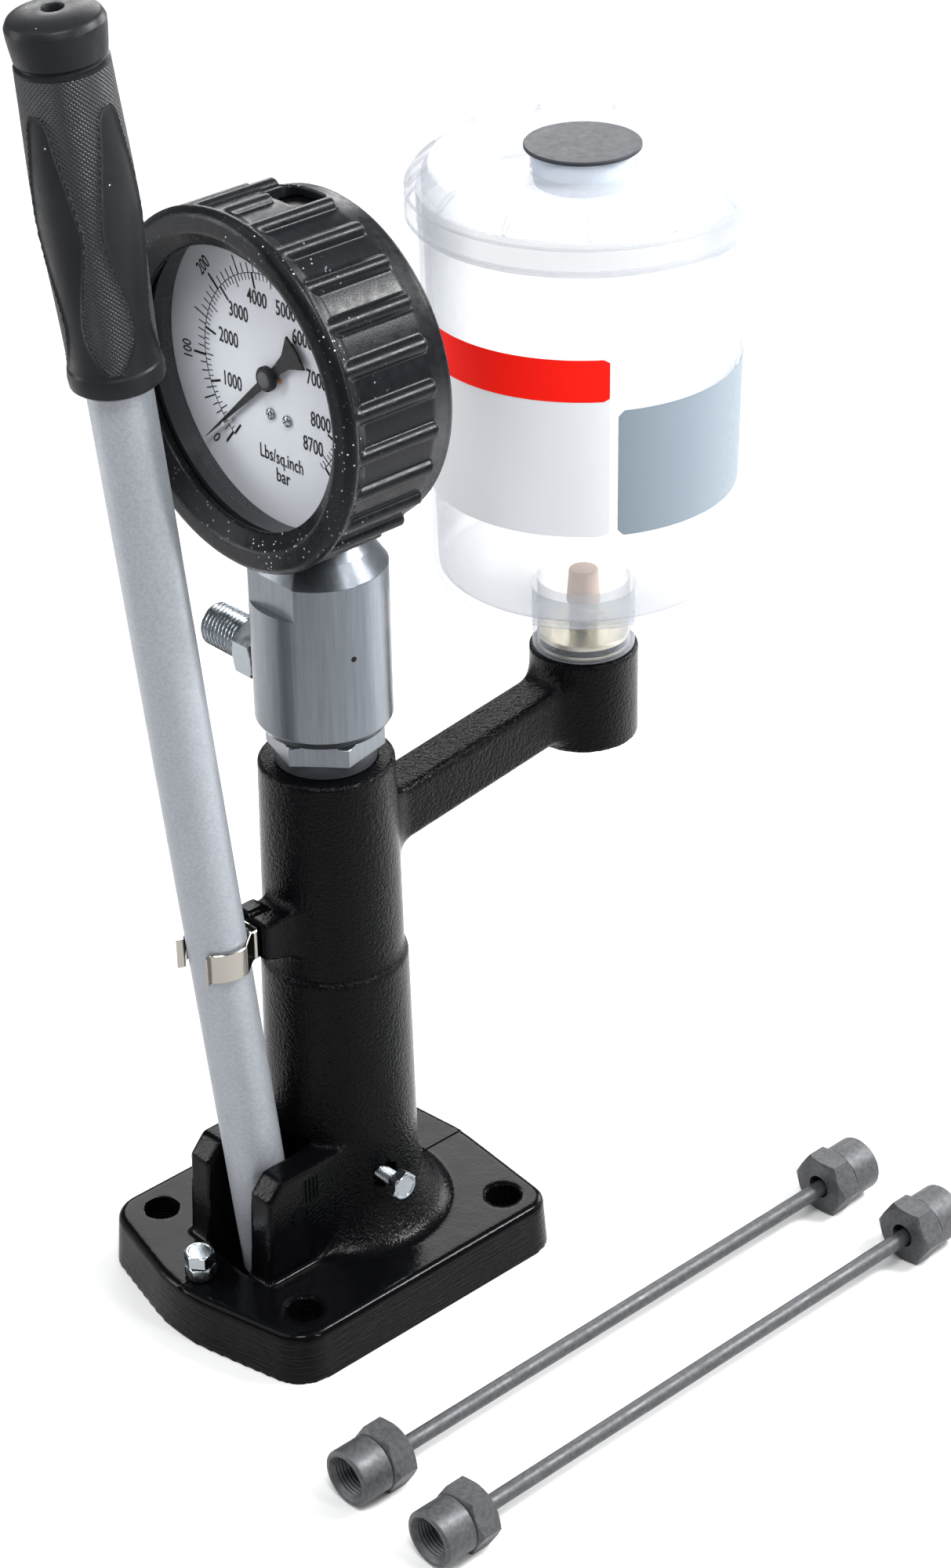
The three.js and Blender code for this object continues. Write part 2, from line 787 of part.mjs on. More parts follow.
function leverTube() {
  const slotWidth = crankHalfWidth + seatGap;
  const slotTop = crankUpperOffset / Math.cos(fingerAngle) + seatGap;
  return ring(tubeRadius, tubeBore, -tubeTail, tubeLength, middleSides, upright)
    .subtract(crossBore())
    .subtract(block([0, -slotWidth, -tubeTail - overrun], [tubeRadius + overrun, slotWidth, slotTop]));
}

function leverCrank() {
  const finger = [];
  for (let k = 0; k <= 8; k += 1) {
    const angle = Math.PI * (0.85 - (1.35 * k) / 8);
    finger.push(new THREE.Vector2(
      crankLength + crankNoseRadius * Math.cos(angle),
      crankNoseRadius * Math.sin(angle),
    ));
  }
  const noseRoot = crankLength - 2 * crankNoseRadius;
  finger.push(new THREE.Vector2(noseRoot, -crankLowerOffset));
  finger.push(new THREE.Vector2(crankLowerOffset / 2, -crankLowerOffset));
  finger.push(new THREE.Vector2(0, crankUpperOffset));
  finger.push(new THREE.Vector2(noseRoot, crankUpperOffset));
  // Drawn in X and Z of the finger, set across Y, then swung down to its angle.
  const swung = new THREE.Matrix4().makeRotationY(-fingerAngle).multiply(
    new THREE.Matrix4().makeRotationX(Math.PI / 2),
  );
  const arm = drawn(finger, -crankHalfWidth, crankHalfWidth, swung);
  const plug = round(tubeBore - seatGap, -tubeTail, crankPlugLength, middleSides, upright);
  return plug.add(arm).subtract(crossBore());
}

function leverGrip() {
  const bore = tubeRadius + seatGap;
  const length = gripEnd - gripStart;
  const capStart = gripEnd - gripCapLength;
  const hollowTop = tubeLength + seatGap;
  return turned(
    [
      [bore, gripStart],
      [gripFlangeRadius - gripGroove, gripStart],
      [gripFlangeRadius, gripStart + gripGroove],
      [gripFlangeRadius, gripStart + gripFlangeLength],
      [gripNeckRadius, gripStart + gripFlangeLength + gripGroove],
      [(gripNeckRadius + gripBellyRadius) / 2, gripStart + length * 0.26],
      [gripBellyRadius, gripStart + length * 0.46],
      [gripBellyRadius * 0.98, gripStart + length * 0.6],
      [gripTopRadius, capStart - gripGroove],
      [gripTopRadius - gripGroove, capStart],
      [gripCapRadius, capStart + gripGroove],
      [gripCapRadius, gripEnd - gripCapLength * 0.2],
      [gripCapRadius * 0.86, gripEnd],
      [gripHangerRadius, gripEnd],
      [gripHangerRadius, hollowTop],
      [bore, hollowTop],
    ],
    middleSides,
  );
}

piece("lever_tube", "tubeSteel", leverTube(), lever);
piece("lever_crank", "darkSteel", leverCrank(), lever);
piece("lever_grip", "rubber", leverGrip(), lever);

// Spring clip that holds the stored lever, and its screw
function leverClip() {
  const inner = tubeRadius + clipHalfHeight * Math.tan(leverLean) + seatGap;
  const outer = inner + clipThickness;
  const centre = new THREE.Vector2(-clipAxis, 0);
  const base = -lugReach;
  const start = Math.asin((clipHalfBase - clipThickness) / outer);
  const arc = (radius, from, to, steps) => Array.from({ length: steps + 1 }, (_, i) => {
    const angle = from + ((to - from) * i) / steps;
    return new THREE.Vector2(centre.x + radius * Math.cos(angle), radius * Math.sin(angle));
  });
  const end = Math.PI - clipOpening;
  const lip = new THREE.Vector2(Math.cos(end), Math.sin(end));
  const flare = new THREE.Vector2(Math.cos(end - 0.7), Math.sin(end - 0.7));
  const tip = lip.clone().multiplyScalar(outer + clipLipRadius).add(centre);
  const tipBack = tip.clone().addScaledVector(flare, clipThickness);
  // One side from the base to the lip along the outer face, then back along the inner face.
  const outside = [
    new THREE.Vector2(base, 0),
    new THREE.Vector2(base, clipHalfBase),
    new THREE.Vector2(base - clipThickness, clipHalfBase),
    ...arc(outer, start, end - 0.12, 8),
    tipBack,
  ];
  const inside = [
    tip,
    ...arc(inner, end, start * 0.9, 8),
    new THREE.Vector2(base - clipThickness, clipHalfBase - clipThickness * 1.6),
    new THREE.Vector2(base - clipThickness, 0),
  ];
  const half = [...outside, ...inside];
  const low = clipHeight - clipHalfHeight;
  const high = clipHeight + clipHalfHeight;
  const near = drawn(half, low, high);
  const far = drawn(half.map((p) => new THREE.Vector2(p.x, -p.y)).reverse(), low, high);
  return near.add(far).subtract(round(clipScrewRadius + seatGap, -lugReach - clipScrewDepth,
    -columnBoreRadius, coarseSides, alongX(0, 0, clipHeight)));
}

function clipScrew() {
  const seat = -lugReach - clipThickness;
  return turned(
    [
      [0, seat - clipScrewHeadHeight],
      [clipScrewHeadRadius * 0.7, seat - clipScrewHeadHeight],
      [clipScrewHeadRadius, seat - clipScrewHeadHeight * 0.3],
      [clipScrewHeadRadius, seat],
      [clipScrewRadius, seat],
      [clipScrewRadius, -lugReach + clipScrewDepth],
      [0, -lugReach + clipScrewDepth],
    ],
    coarseSides,
    alongX(0, 0, clipHeight),
  );
}

piece("lever_clip", "springSteel", leverClip());
piece("clip_screw", "brightZinc", clipScrew());

// Stop screw with its lock nut, and the guide screw in the column's foot
function stopScrew() {
  const head = pivotHeight + (stopScrewReach - pivotReach) * Math.tan(Math.PI / 2 - leverLean - leverSwing)
    - (tubeRadius + seatGap) / Math.cos(Math.PI / 2 - leverLean - leverSwing);
  const seat = head - screwHeadHeight;
  const place = at(-stopScrewReach, 0, 0);
  return hexHead(screwHeadAcrossFlats, seat, head, place, { lowCut: false })
    .add(round(screwRadius, head - stopScrewLength, seat, coarseSides, place));
}

function lockNut() {
  const place = at(-stopScrewReach, 0, 0);
  return hexHead(screwHeadAcrossFlats, plateHeight, plateHeight + lockNutHeight, place, { turn: 0.4 })
    .subtract(round(screwRadius + seatGap, plateHeight - overrun, plateHeight + lockNutHeight + overrun,
      coarseSides, place));
}

function guideScrew() {
  const place = alongY(-guideScrewReach, 0, guideScrewHeight);
  const headEnd = -guideScrewHeadStart - screwHeadHeight;
  return hexHead(screwHeadAcrossFlats, headEnd, -guideScrewHeadStart, place, { turn: 0.3, highCut: false })
    .add(round(screwRadius, -guideScrewHeadStart, -guideScrewSeat + guideScrewDepth, coarseSides, place));
}

piece("stop_screw", "brightZinc", stopScrew());
piece("stop_lock_nut", "brightZinc", lockNut());
piece("guide_screw", "brightZinc", guideScrew());

// Tappet, plunger, keeper and spring in the column
const tappetRadius = neckRadiusOf(columnBoreRadius);
const plungerSocket = plungerHeadHeight + seatGap;

function tappet() {
  const shoulder = tappetFoot + tappetFootHeight;
  return turned(
    [
      [0, tappetFoot],
      [tappetFootRadius, tappetFoot],
      [tappetFootRadius, shoulder],
      [tappetRadius, shoulder],
      [tappetRadius, tappetTop],
      [plungerHeadRadius + seatGap, tappetTop],
      [plungerHeadRadius + seatGap, tappetTop - plungerSocket],
      [0, tappetTop - plungerSocket],
    ],
    middleSides,
  );
}

function plunger() {
  const foot = tappetTop - plungerHeadHeight;
  return turned(
    [
      [0, foot],
      [plungerHeadRadius, foot],
      [plungerHeadRadius, tappetTop],
      [plungerRadius, tappetTop],
      [plungerRadius, plungerTop],
      [0, plungerTop],
    ],
    smallSides,
  );
}

piece("tappet", "steel", tappet());
piece("plunger", "steel", plunger());
piece("plunger_keeper", "darkSteel", ring(keeperRadius, plungerRadius + seatGap, tappetTop + seatGap, keeperTop,
  middleSides, upright));
piece("plunger_spring", "steel", coil("plunger_spring", springMeanRadius, springWireRadius,
  tappetTop + seatGap, neckFoot - seatGap, springCurls));

// Pump body: barrel, neck and hexagon in one, with a black ring under the hexagon
function pumpBody() {
  const neck = neckRadiusOf(columnBoreRadius);
  const groove = neck - neckGrooveDepth;
  const ringTop = pumpHexLow - seatGap;
  const outer = turned(
    [
      [0, barrelFoot],
      [barrelRadius, barrelFoot],
      [barrelRadius, neckFoot],
      [neck, neckFoot],
      [neck, neckGrooveLow],
      [groove, neckGrooveLow],
      [groove, neckGrooveHigh],
      [neck, neckGrooveHigh],
      [neck, columnHeight - overrun],
      [pumpWaistRadius, columnHeight - overrun],
      [pumpWaistRadius, ringTop],
      [pumpWaistRadius, pumpHexLow + overrun],
      [pumpThreadRadius, pumpHexHigh - overrun],
      [pumpThreadRadius, pumpTop],
      [0, pumpTop],
    ],
    middleSides,
  );
  const hex = hexHead(pumpHexAcrossFlats, pumpHexLow, pumpHexHigh, upright, { turn: pumpHexTurn, lowCut: false });
  const port = (neckGrooveLow + neckGrooveHigh) / 2;
  return outer
    .add(hex)
    .subtract(round(plungerRadius + seatGap, barrelFoot - overrun, plungerBoreTop, smallSides, upright))
    .subtract(round(drillingRadius, plungerBoreTop - overrun, pumpTop + overrun, coarseSides, upright))
    .subtract(round(suctionPortRadius, 0, neck + overrun, coarseSides, alongX(0, 0, port)));
}

piece("pump_body", "brightZinc", pumpBody());
piece("column_seal_ring", "blackPlastic", ring(sealRingRadius, pumpWaistRadius + seatGap,
  columnHeight + seatGap, pumpHexLow - seatGap, middleSides, upright));

// Valve block with its flats, gauge port, valve chamber and outlet port
function valveBlock() {
  const chamberLow = pumpTop + seatGap;
  const half = blockFlatAcross / 2;
  let body = turned(
    [
      [0, blockFoot],
      [blockRadius - blockFootChamfer, blockFoot],
      [blockRadius, blockFoot + blockFootChamferHeight],
      [blockRadius, blockShoulder],
      [blockTopRadius, blockTop],
      [0, blockTop],
    ],
    largeSides,
  );
  const portEnd = blockRadius - outletPortDepth;
  const cuts = [
    round(pumpThreadRadius + seatGap, blockFoot - overrun, chamberLow, middleSides, upright),
    round(valveChamberRadius, chamberLow - overrun, gaugePortLow, smallSides, upright),
    round(gaugePortRadius, gaugePortLow - overrun, blockTop + overrun, smallSides, upright),
    round(outletThreadRadius + seatGap, portEnd, blockRadius + overrun, smallSides, alongY(0, 0, outletHeight)),
    rod([0, portEnd + overrun, outletHeight], [0, valveChamberRadius - overrun, chamberLow + outletPortDepth * 1.7],
      drillingRadius, coarseSides),
    block([-blockRadius - overrun, -blockRadius - overrun, blockFlatLow], [-half, blockRadius + overrun, blockTop]),
    block([half, -blockRadius - overrun, blockFlatLow], [blockRadius + overrun, blockRadius + overrun, blockTop]),
  ];
  for (const cut of cuts) body = body.subtract(cut);
  return body;
}

piece("valve_block", "zinc", valveBlock());

// Delivery valve and its spring
const valveFoot = pumpTop + seatGap + seatGap;
const valveTop = valveFoot + valveLength;

function deliveryValve() {
  return turned(
    [
      [0, valveFoot],
      [valveFlute, valveFoot],
      [valveRadius, valveFoot + valveRadius - valveFlute],
      [valveRadius, valveTop],
      [valveFlute, valveTop],
      [valveFlute, valveTop + valveFlute],
      [0, valveTop + valveFlute],
    ],
    smallSides,
  );
}

piece("delivery_valve", "steel", deliveryValve());
piece("delivery_valve_spring", "steel", coil("delivery_valve_spring", valveSpringMeanRadius,
  valveSpringWireRadius, valveTop + seatGap, stemThreadFoot - seatGap, valveSpringCurls));

// Outlet adapter and its washer
function outletAdapter() {
  const place = alongY(0, 0, outletHeight);
  const inner = blockRadius - outletPortDepth + seatGap;
  const chamfer = outletStubRadius / 8;
  const body = turned(
    [
      [0, inner],
      [outletThreadRadius, inner],
      [outletThreadRadius, outletHexStart + overrun],
      [outletStubRadius, outletHexStart + overrun],
      [outletStubRadius, outletEnd - chamfer],
      [outletStubRadius - chamfer, outletEnd],
      [outletConeRadius, outletEnd],
      [outletBoreRadius, outletEnd - outletConeRadius],
      [outletBoreRadius, inner + outletBoreRadius],
      [0, inner + outletBoreRadius],
    ],
    middleSides,
    place,
  );
  return body
    .add(hexHead(outletHexAcrossFlats, outletHexStart, outletHexEnd, place, { turn: 0.5 })
      .subtract(round(outletBoreRadius, outletHexStart - overrun, outletHexEnd + overrun, smallSides, place)))
    .subtract(round(outletBoreRadius, inner - overrun, outletEnd, smallSides, place));
}

piece("outlet_adapter", "brightZinc", outletAdapter());
piece("outlet_washer", "copper", ring(outletWasherRadius, outletThreadRadius + seatGap, blockRadius + seatGap,
  outletHexStart - seatGap, middleSides, alongY(0, 0, outletHeight)));

// Fitting on the boss, with its seal and the filter
const onBoss = at(reservoirReach, 0, 0);
const fittingFoot = bossTop + seatGap;
const fittingDiscTop = fittingFoot + fittingDiscHeight;
const sealHeight = fittingFoot + fittingDiscHeight / 2;
const sealCentre = neckInner - seatGap - sealWireRadius;

function bossFitting() {
  const groove = sealCentre - sealWireRadius - seatGap;
  const grooveHalf = sealWireRadius + seatGap;
  return turned(
    [
      [fuelDrillingRadius / 2, bossPortLow + bossPortRadius / 2],
      [bossPortRadius - seatGap, bossPortLow + bossPortRadius / 2],
      [bossPortRadius - seatGap, fittingFoot],
      [fittingDiscRadius, fittingFoot],
      [fittingDiscRadius, sealHeight - grooveHalf],
      [groove, sealHeight - grooveHalf],
      [groove, sealHeight + grooveHalf],
      [fittingDiscRadius, sealHeight + grooveHalf],
      [fittingDiscRadius, fittingDiscTop],
      [fittingTubeRadius, fittingDiscTop],
      [fittingTubeRadius, fittingTubeTop],
      [fittingNippleRadius, fittingTubeTop],
      [fittingNippleRadius, fittingNippleTop],
      [fuelDrillingRadius / 2, fittingNippleTop],
    ],
    middleSides,
    onBoss,
  );
}

function fittingSeal() {
  const profile = Array.from({ length: 6 }, (_, i) => {
    const angle = (Math.PI * i) / 3;
    return [sealCentre + sealWireRadius * Math.cos(angle), sealHeight + sealWireRadius * Math.sin(angle)];
  });
  return turned(profile, middleSides, onBoss);
}

function reservoirFilter() {
  const foot = fittingTubeTop + seatGap;
  const bore = fittingNippleRadius + seatGap;
  return turned(
    [
      [0, fittingNippleTop + seatGap],
      [bore, fittingNippleTop + seatGap],
      [bore, foot],
      [filterFootRadius, foot],
      [filterTopRadius, filterTop - seatGap],
      [filterTopRadius - seatGap, filterTop],
      [0, filterTop],
    ],
    smallSides,
    onBoss,
  );
}

piece("reservoir_fitting", "brass", bossFitting());
piece("fitting_seal", "rubber", fittingSeal());
piece("reservoir_filter", "bronze", reservoirFilter());

// Reservoir body, lid and vent plug, turned about the boss axis
function reservoirBody() {
  const foot = bossTop + seatGap;
  const corner = floorRimHeight + bodyCornerRadius;
  return turned(
    [
      [neckInner, foot],
      [neckRadius, foot],
      [neckRadius, neckTop - wall],
      [bodyFootRadius - bodyCornerRadius, floorRimHeight],
      [bodyFootRadius - bodyCornerRadius * 0.3, floorRimHeight + bodyCornerRadius * 0.3],
      [bodyFootRadius, corner],
      [bodyTopRadius, bodyTop],
      [bodyTopRadius - wall, bodyTop],
      [bodyFootRadius - wall, corner],
      [bodyFootRadius - bodyCornerRadius, floorRimHeight + wall],
      [neckRadius, neckTop],
      [neckInner, neckTop],
    ],
    largeSides,
    onBoss,
  );
}

function reservoirLid() {
  const hole = ventRadiusAt(lidDishHeight) + seatGap;
  const inside = bodyTopRadius + seatGap;
  const seat = bodyTop + seatGap;
  return turned(
    [
      [inside, lidFoot],
      [lidFootRadius, lidFoot],
      [lidRadius, lidFoot + wall],
      [lidRadius, lidShoulder],
      [lidBrowRadius, lidBrowHeight],
      [lidRimRadius, lidRimHeight],
      [lidDishRadius, lidDishHeight],
      [hole, lidDishHeight],
      [hole, lidDishHeight - wall],
      [lidDishRadius, lidDishHeight - wall],
      [lidRimRadius, lidRimHeight - wall],
      [bodyTopRadius - wall, seat],
      [inside, seat],
    ],
    largeSides,
    onBoss,
  );
}

// The vent plug tapers, so its radius goes with its height.
function ventRadiusAt(height) {
  const share = (height - ventFoot) / (ventTop - ventFoot);
  return ventFootRadius + (ventTopRadius - ventFootRadius) * share;
}

function ventPlug() {
  return turned(
    [
      [ventFootRadius - wall, ventFoot],
      [ventFootRadius, ventFoot],
      [ventTopRadius, ventTop],
      [0, ventTop],
      [0, ventTop - wall],
      [ventTopRadius - wall, ventTop - wall],
    ].reverse(),
    middleSides,
    onBoss,
  );
}

function ventCap() {
  const foot = ventTop + seatGap;
  return turned(
    [
      [0, foot],
      [ventCapRadius, foot],
      [ventCapRadius, foot + ventCapHeight - seatGap],
      [ventCapRadius - seatGap, foot + ventCapHeight],
      [0, foot + ventCapHeight],
    ],
    largeSides,
    onBoss,
  );
}

piece("reservoir_body", "clearPlastic", reservoirBody());
piece("reservoir_lid", "clearPlastic", reservoirLid());
piece("vent_plug", "clearPlastic", ventPlug());
piece("vent_cap", "blackPlastic", ventCap());

// Gauge: case, boot, bezel, glass, dial and works, turned about an axis along X
const onGauge = alongX(0, 0, gaugeHeight);

function gaugeCase() {
  return turned(
    [
      [0, caseBack],
      [caseRadius, caseBack],
      [caseRadius, -caseFront],
      [caseRadius - caseWall, -caseFront],
      [caseRadius - caseWall, caseBack - caseWall],
      [0, caseBack - caseWall],
    ],
    largeSides,
    onGauge,
  ).subtract(round(stemNeckRadius + seatGap, -caseRadius - overrun, 0, smallSides, at(0, 0, gaugeHeight)));
}

function gaugeBoot() {
  const inner = caseRadius + bootGap;
  const front = bezelRadius + bootGap;
  const groove = -caseFront + bootGap;
  let body = turned(
    [
      [bootLipRadius, -bootFront + bootLipDepth],
      [bootLipRadius + bootLipDepth, -bootFront],
      [bootBeadRadius - bootLipDepth / 2, -bootFront],
      [bootBeadRadius, -bootBead],
      [bootWallRadius + ribRadius * 0.6, -ribFront + ribRadius / 2],
      [bootWallRadius, -ribFront + 2 * ribRadius],
      [bootWallRadius, -ribBack],
      [bootBackRadius, ribBack + ribRadius],
      [bootBackRadius, bootBack - bootLipDepth / 2],
      [bootBackRadius - bootLipDepth / 2, bootBack],
      [bootBackOpening, bootBack],
      [bootBackOpening, caseBack + bootGap],
      [inner, caseBack + bootGap],
      [inner, groove],
      [front, groove],
      [front, -bezelFront - bootGap],
      [bootLipRadius, -bezelFront - bootGap],
    ],
    largeSides,
    onGauge,
  );
  for (let k = 0; k < ribCount; k += 1) {
    const back = k === 0 ? shortRibBack : ribBack;
    const straight = ribFront + back - 2 * ribRadius;
    const rib = new THREE.CapsuleGeometry(ribRadius, straight, 1, 6).rotateX(Math.PI / 2);
    const turn = new THREE.Matrix4().makeRotationZ(Math.PI + bootTurn + (2 * Math.PI * k) / ribCount);
    const place = onGauge.clone().multiply(turn).multiply(at(bootWallRadius, 0, (back - ribFront) / 2));
    body = body.add(solid(rib, place));
  }
  const slotPlace = at(0, 0, gaugeHeight).multiply(new THREE.Matrix4().makeRotationX(bootTurn));
  const hangSlot = drawn(roundedOutline([
    [-hangSlotFront, -hangSlotHalfLength, hangSlotCorner],
    [hangSlotBack, -hangSlotHalfLength, hangSlotCorner],
    [hangSlotBack, hangSlotHalfLength, hangSlotCorner],
    [-hangSlotFront, hangSlotHalfLength, hangSlotCorner],
  ], 3), caseRadius - overrun, bootBeadRadius, slotPlace);
  const stemHole = round(stemOpeningRadius, -bootBeadRadius - overrun, -caseRadius + bootLipDepth, middleSides,
    at(0, 0, gaugeHeight));
  return body.subtract(hangSlot).subtract(stemHole);
}

function gaugeStem() {
  const port = stemThreadRadius;
  const hexLow = blockTop + seatGap;
  const postFront = -worksBack + worksPlateThickness + seatGap;
  const turnedPart = turned(
    [
      [0, stemThreadFoot],
      [port, stemThreadFoot],
      [port, hexLow],
      [stemNeckRadius, hexLow],
      [stemNeckRadius, stemBlockLow + overrun],
      [0, stemBlockLow + overrun],
    ],
    smallSides,
  );
  return turnedPart
    .add(hexHead(stemHexAcrossFlats, hexLow, hexLow + stemHexHeight, upright))
    .add(block([-stemBlockHalfDepth, -stemBlockHalfWidth, stemBlockLow],
      [stemBlockHalfDepth, stemBlockHalfWidth, stemBlockHigh]))
    .add(block([postFront, -stemPostHalfWidth, stemBlockHigh - overrun],
      [postFront + stemPostDepth, stemPostHalfWidth, gaugeHeight]))
    .subtract(round(stemBoreRadius, stemThreadFoot - overrun, stemBlockLow + overrun, coarseSides, upright))
    .subtract(round(stemBoreRadius, 0, stemBlockHalfWidth + overrun, coarseSides, alongY(0, 0, stemBlockLow)));
}

// The flattened tube starts beside the stem's block and curls up and round to its free end.
function bourdonTube() {
  const seat = stemBlockHalfWidth + seatGap + bourdonHalfThickness / 3;
  const start = Math.asin(seat / bourdonRadius) - Math.PI / 2;
  class Curl extends THREE.Curve {
    getPoint(t, target = new THREE.Vector3()) {
      const angle = start + bourdonSweep * t;
      return target.set(0, bourdonRadius * Math.cos(angle), bourdonRadius * Math.sin(angle));
    }
  }
  const section = new THREE.Shape();
  section.absellipse(0, 0, bourdonHalfWidth, bourdonHalfThickness, 0, 2 * Math.PI);
  const options = { steps: 20, curveSegments: 3, extrudePath: new Curl() };
  return solid(new THREE.ExtrudeGeometry(section, options), at(-bourdonCentre, 0, gaugeHeight));
}

piece("gauge_case", "steel", gaugeCase());
piece("gauge_boot", "rubber", gaugeBoot());
piece("gauge_stem", "brass", gaugeStem());
piece("bourdon_tube", "copper", bourdonTube());

const dialScrewPlaces = [-1, 1].map((side) => alongX(0, side * dialScrewOffset - dialScrewShift,
  gaugeHeight - dialScrewDrop));

// The works: two plates on pillars, on a post of the stem, with two feet that carry the dial.
function gaugeWorks() {
  const plateAt = (x) => block(
    [x, -worksPlateHalfWidth, -worksPlateHalfHeight],
    [x + worksPlateThickness, worksPlateHalfWidth, worksPlateHalfHeight],
    at(0, 0, gaugeHeight),
  );
  let body = plateAt(-worksFront).add(plateAt(-worksBack));
  for (const side of [-1, 1]) {
    const y = side * (worksPlateHalfWidth - 2 * worksPillarRadius);
    body = body.add(round(worksPillarRadius, -worksFront + worksPlateThickness / 2, -worksBack + worksPlateThickness / 2,
      coarseSides, alongX(0, y, gaugeHeight)));
  }
  const dialBack = -dialFace + dialThickness + seatGap;
  for (const place of dialScrewPlaces) {
    body = body.add(round(dialFootRadius, dialBack, -worksFront + worksPlateThickness / 2, coarseSides, place));
  }
  for (const place of dialScrewPlaces) {
    body = body.subtract(round(dialShankRadius + seatGap, dialBack - overrun, -worksFront + worksPlateThickness + overrun,
      coarseSides, place));
  }
  return body.subtract(round(spindleRadius + seatGap, -worksFront - overrun, overrun, coarseSides, onGauge));
}

piece("gauge_works", "brass", gaugeWorks());

function gaugeDial() {
  let dial = ring(dialRadius, dialBoreRadius, -dialFace, -dialFace + dialThickness, largeSides, onGauge);
  for (const place of dialScrewPlaces) {
    dial = dial.subtract(round(dialShankRadius + seatGap, -dialFace - overrun, -dialFace + overrun, coarseSides, place));
  }
  return dial;
}

piece("gauge_dial", "dialWhite", gaugeDial());
dialScrewPlaces.forEach((place, i) => {
  const face = -dialFace - seatGap;
  piece(`dial_screw_${i + 1}`, "brightZinc", round(dialScrewRadius, face - dialScrewHeight, face, coarseSides, place)
    .add(round(dialShankRadius, face - dialScrewHeight / 2, -worksFront, coarseSides, place)));
});

// The pointer: a thin blade with a fan tail on a hub, on the spindle that runs back into the works.
function gaugePointer() {
  const blade = [
    [pointerTip, 0],
    [pointerHubRadius, pointerHubRadius * 0.45],
    [-pointerTail * 0.3, pointerHubRadius * 0.5],
    [-pointerTail * 0.62, pointerHubRadius * 0.75],
    [-pointerTail * 0.96, pointerTail * 0.31],
    [-pointerTail, 0],
    [-pointerTail * 0.96, -pointerTail * 0.31],
    [-pointerTail * 0.62, -pointerHubRadius * 0.75],
    [-pointerTail * 0.3, -pointerHubRadius * 0.5],
    [pointerHubRadius, -pointerHubRadius * 0.45],
  ].map(([x, y]) => new THREE.Vector2(x, y));
  const turnedTo = onGauge.clone().multiply(new THREE.Matrix4().makeRotationZ(pointerRest));
  return drawn(blade, -pointerFace, -pointerFace + pointerThickness, turnedTo)
    .add(round(pointerHubRadius, -pointerHubFront, -pointerFace + pointerThickness, smallSides, onGauge))
    .add(round(spindleRadius, -pointerFace, -worksBack, coarseSides, onGauge));
}

piece("gauge_pointer", "black", gaugePointer());

function stopPin() {
  const angle = pointerRest - Math.asin((stopPinRadius + seatGap * 3) / stopPinReach);
  const y = stopPinReach * Math.sin(angle);
  const z = gaugeHeight - stopPinReach * Math.cos(angle);
  return round(stopPinRadius, -pointerHubFront, -dialFace - seatGap, coarseSides, alongX(0, y, z));
}

piece("pointer_stop_pin", "steel", stopPin());
piece("gauge_glass", "glass", round(glassRadius, -glassFront, -glassFront + glassThickness, largeSides, onGauge));
piece("gauge_bezel", "black", turned(
  [
    [bezelOpening, -bezelFront],
    [bezelRadius, -bezelFront],
    [bezelRadius, -caseFront - seatGap],
    [glassRadius + seatGap, -caseFront - seatGap],
    [glassRadius + seatGap, -glassFront - seatGap],
    [bezelOpening, -glassFront - seatGap],
  ],
  largeSides,
  onGauge,
));

// Test lines: a steel pipe with a cone at each end and two union nuts
const nutAxisHeight = nutAcrossFlats / 2;
const nutLength = nutHexLength + nutCollarLength;

function testPipe(side) {
  const inset = nutMouthDepth - seatGap;
  const front = -lineFront + inset - lineConeLength;
  const rear = lineRear - inset + lineConeLength;
  return turned(
    [
      [0, front],
      [linePipeRadius, front],
      [lineConeRadius, front + lineConeLength * 0.6],
      [lineConeRadius, front + lineConeLength],
      [linePipeRadius, front + lineConeLength],
      [linePipeRadius, rear - lineConeLength],
      [lineConeRadius, rear - lineConeLength],
      [lineConeRadius, rear - lineConeLength * 0.6],
      [linePipeRadius, rear],
      [0, rear],
    ],
    smallSides,
    alongX(0, side, nutAxisHeight - nutPipeDrop),
  );
}

// A union nut whose mouth faces outward: direction is -1 at the front end and +1 at the rear end.
function unionNut(y, direction) {
  const mouth = direction < 0 ? lineFront : lineRear;
  const turnRound = direction < 0 ? new THREE.Matrix4().makeRotationX(Math.PI) : new THREE.Matrix4();
  const place = alongX(0, y, nutAxisHeight).multiply(turnRound);
  const hexLow = mouth - nutLength;
  const hexHigh = mouth - nutCollarLength;
  const bore = [
    [0, hexLow - overrun],
    [nutHoleRadius, hexLow - overrun],
    [nutHoleRadius, mouth - nutMouthDepth],
    [nutMouthRadius, mouth - nutMouthDepth],
    [nutMouthRadius, mouth - nutMouthChamfer],
    [nutMouthRadius + nutMouthChamfer, mouth],
    [nutMouthRadius + nutMouthChamfer, mouth + overrun],
    [0, mouth + overrun],
  ];
  return hexHead(nutAcrossFlats, hexLow, hexHigh, place, { turn: Math.PI / 6 })
    .add(round(nutCollarRadius, hexHigh - overrun, mouth, middleSides, place))
    .subtract(turned(bore, middleSides, place));
}

[lineNear, lineFar].forEach((reach, i) => {
  const number = i + 1;
  piece(`test_pipe_${number}`, "darkSteel", testPipe(-reach));
  piece(`pipe_${number}_front_nut`, "darkSteel", unionNut(-reach, -1));
  piece(`pipe_${number}_rear_nut`, "darkSteel", unionNut(-reach, 1));
});

export default tester;
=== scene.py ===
# A diesel injector tester on a pale studio floor. Sizes in the script are in millimetres and are turned to
# metres as each mesh is made. +Z is up, the lever and the gauge's face are on -X, the reservoir on +X.
import math

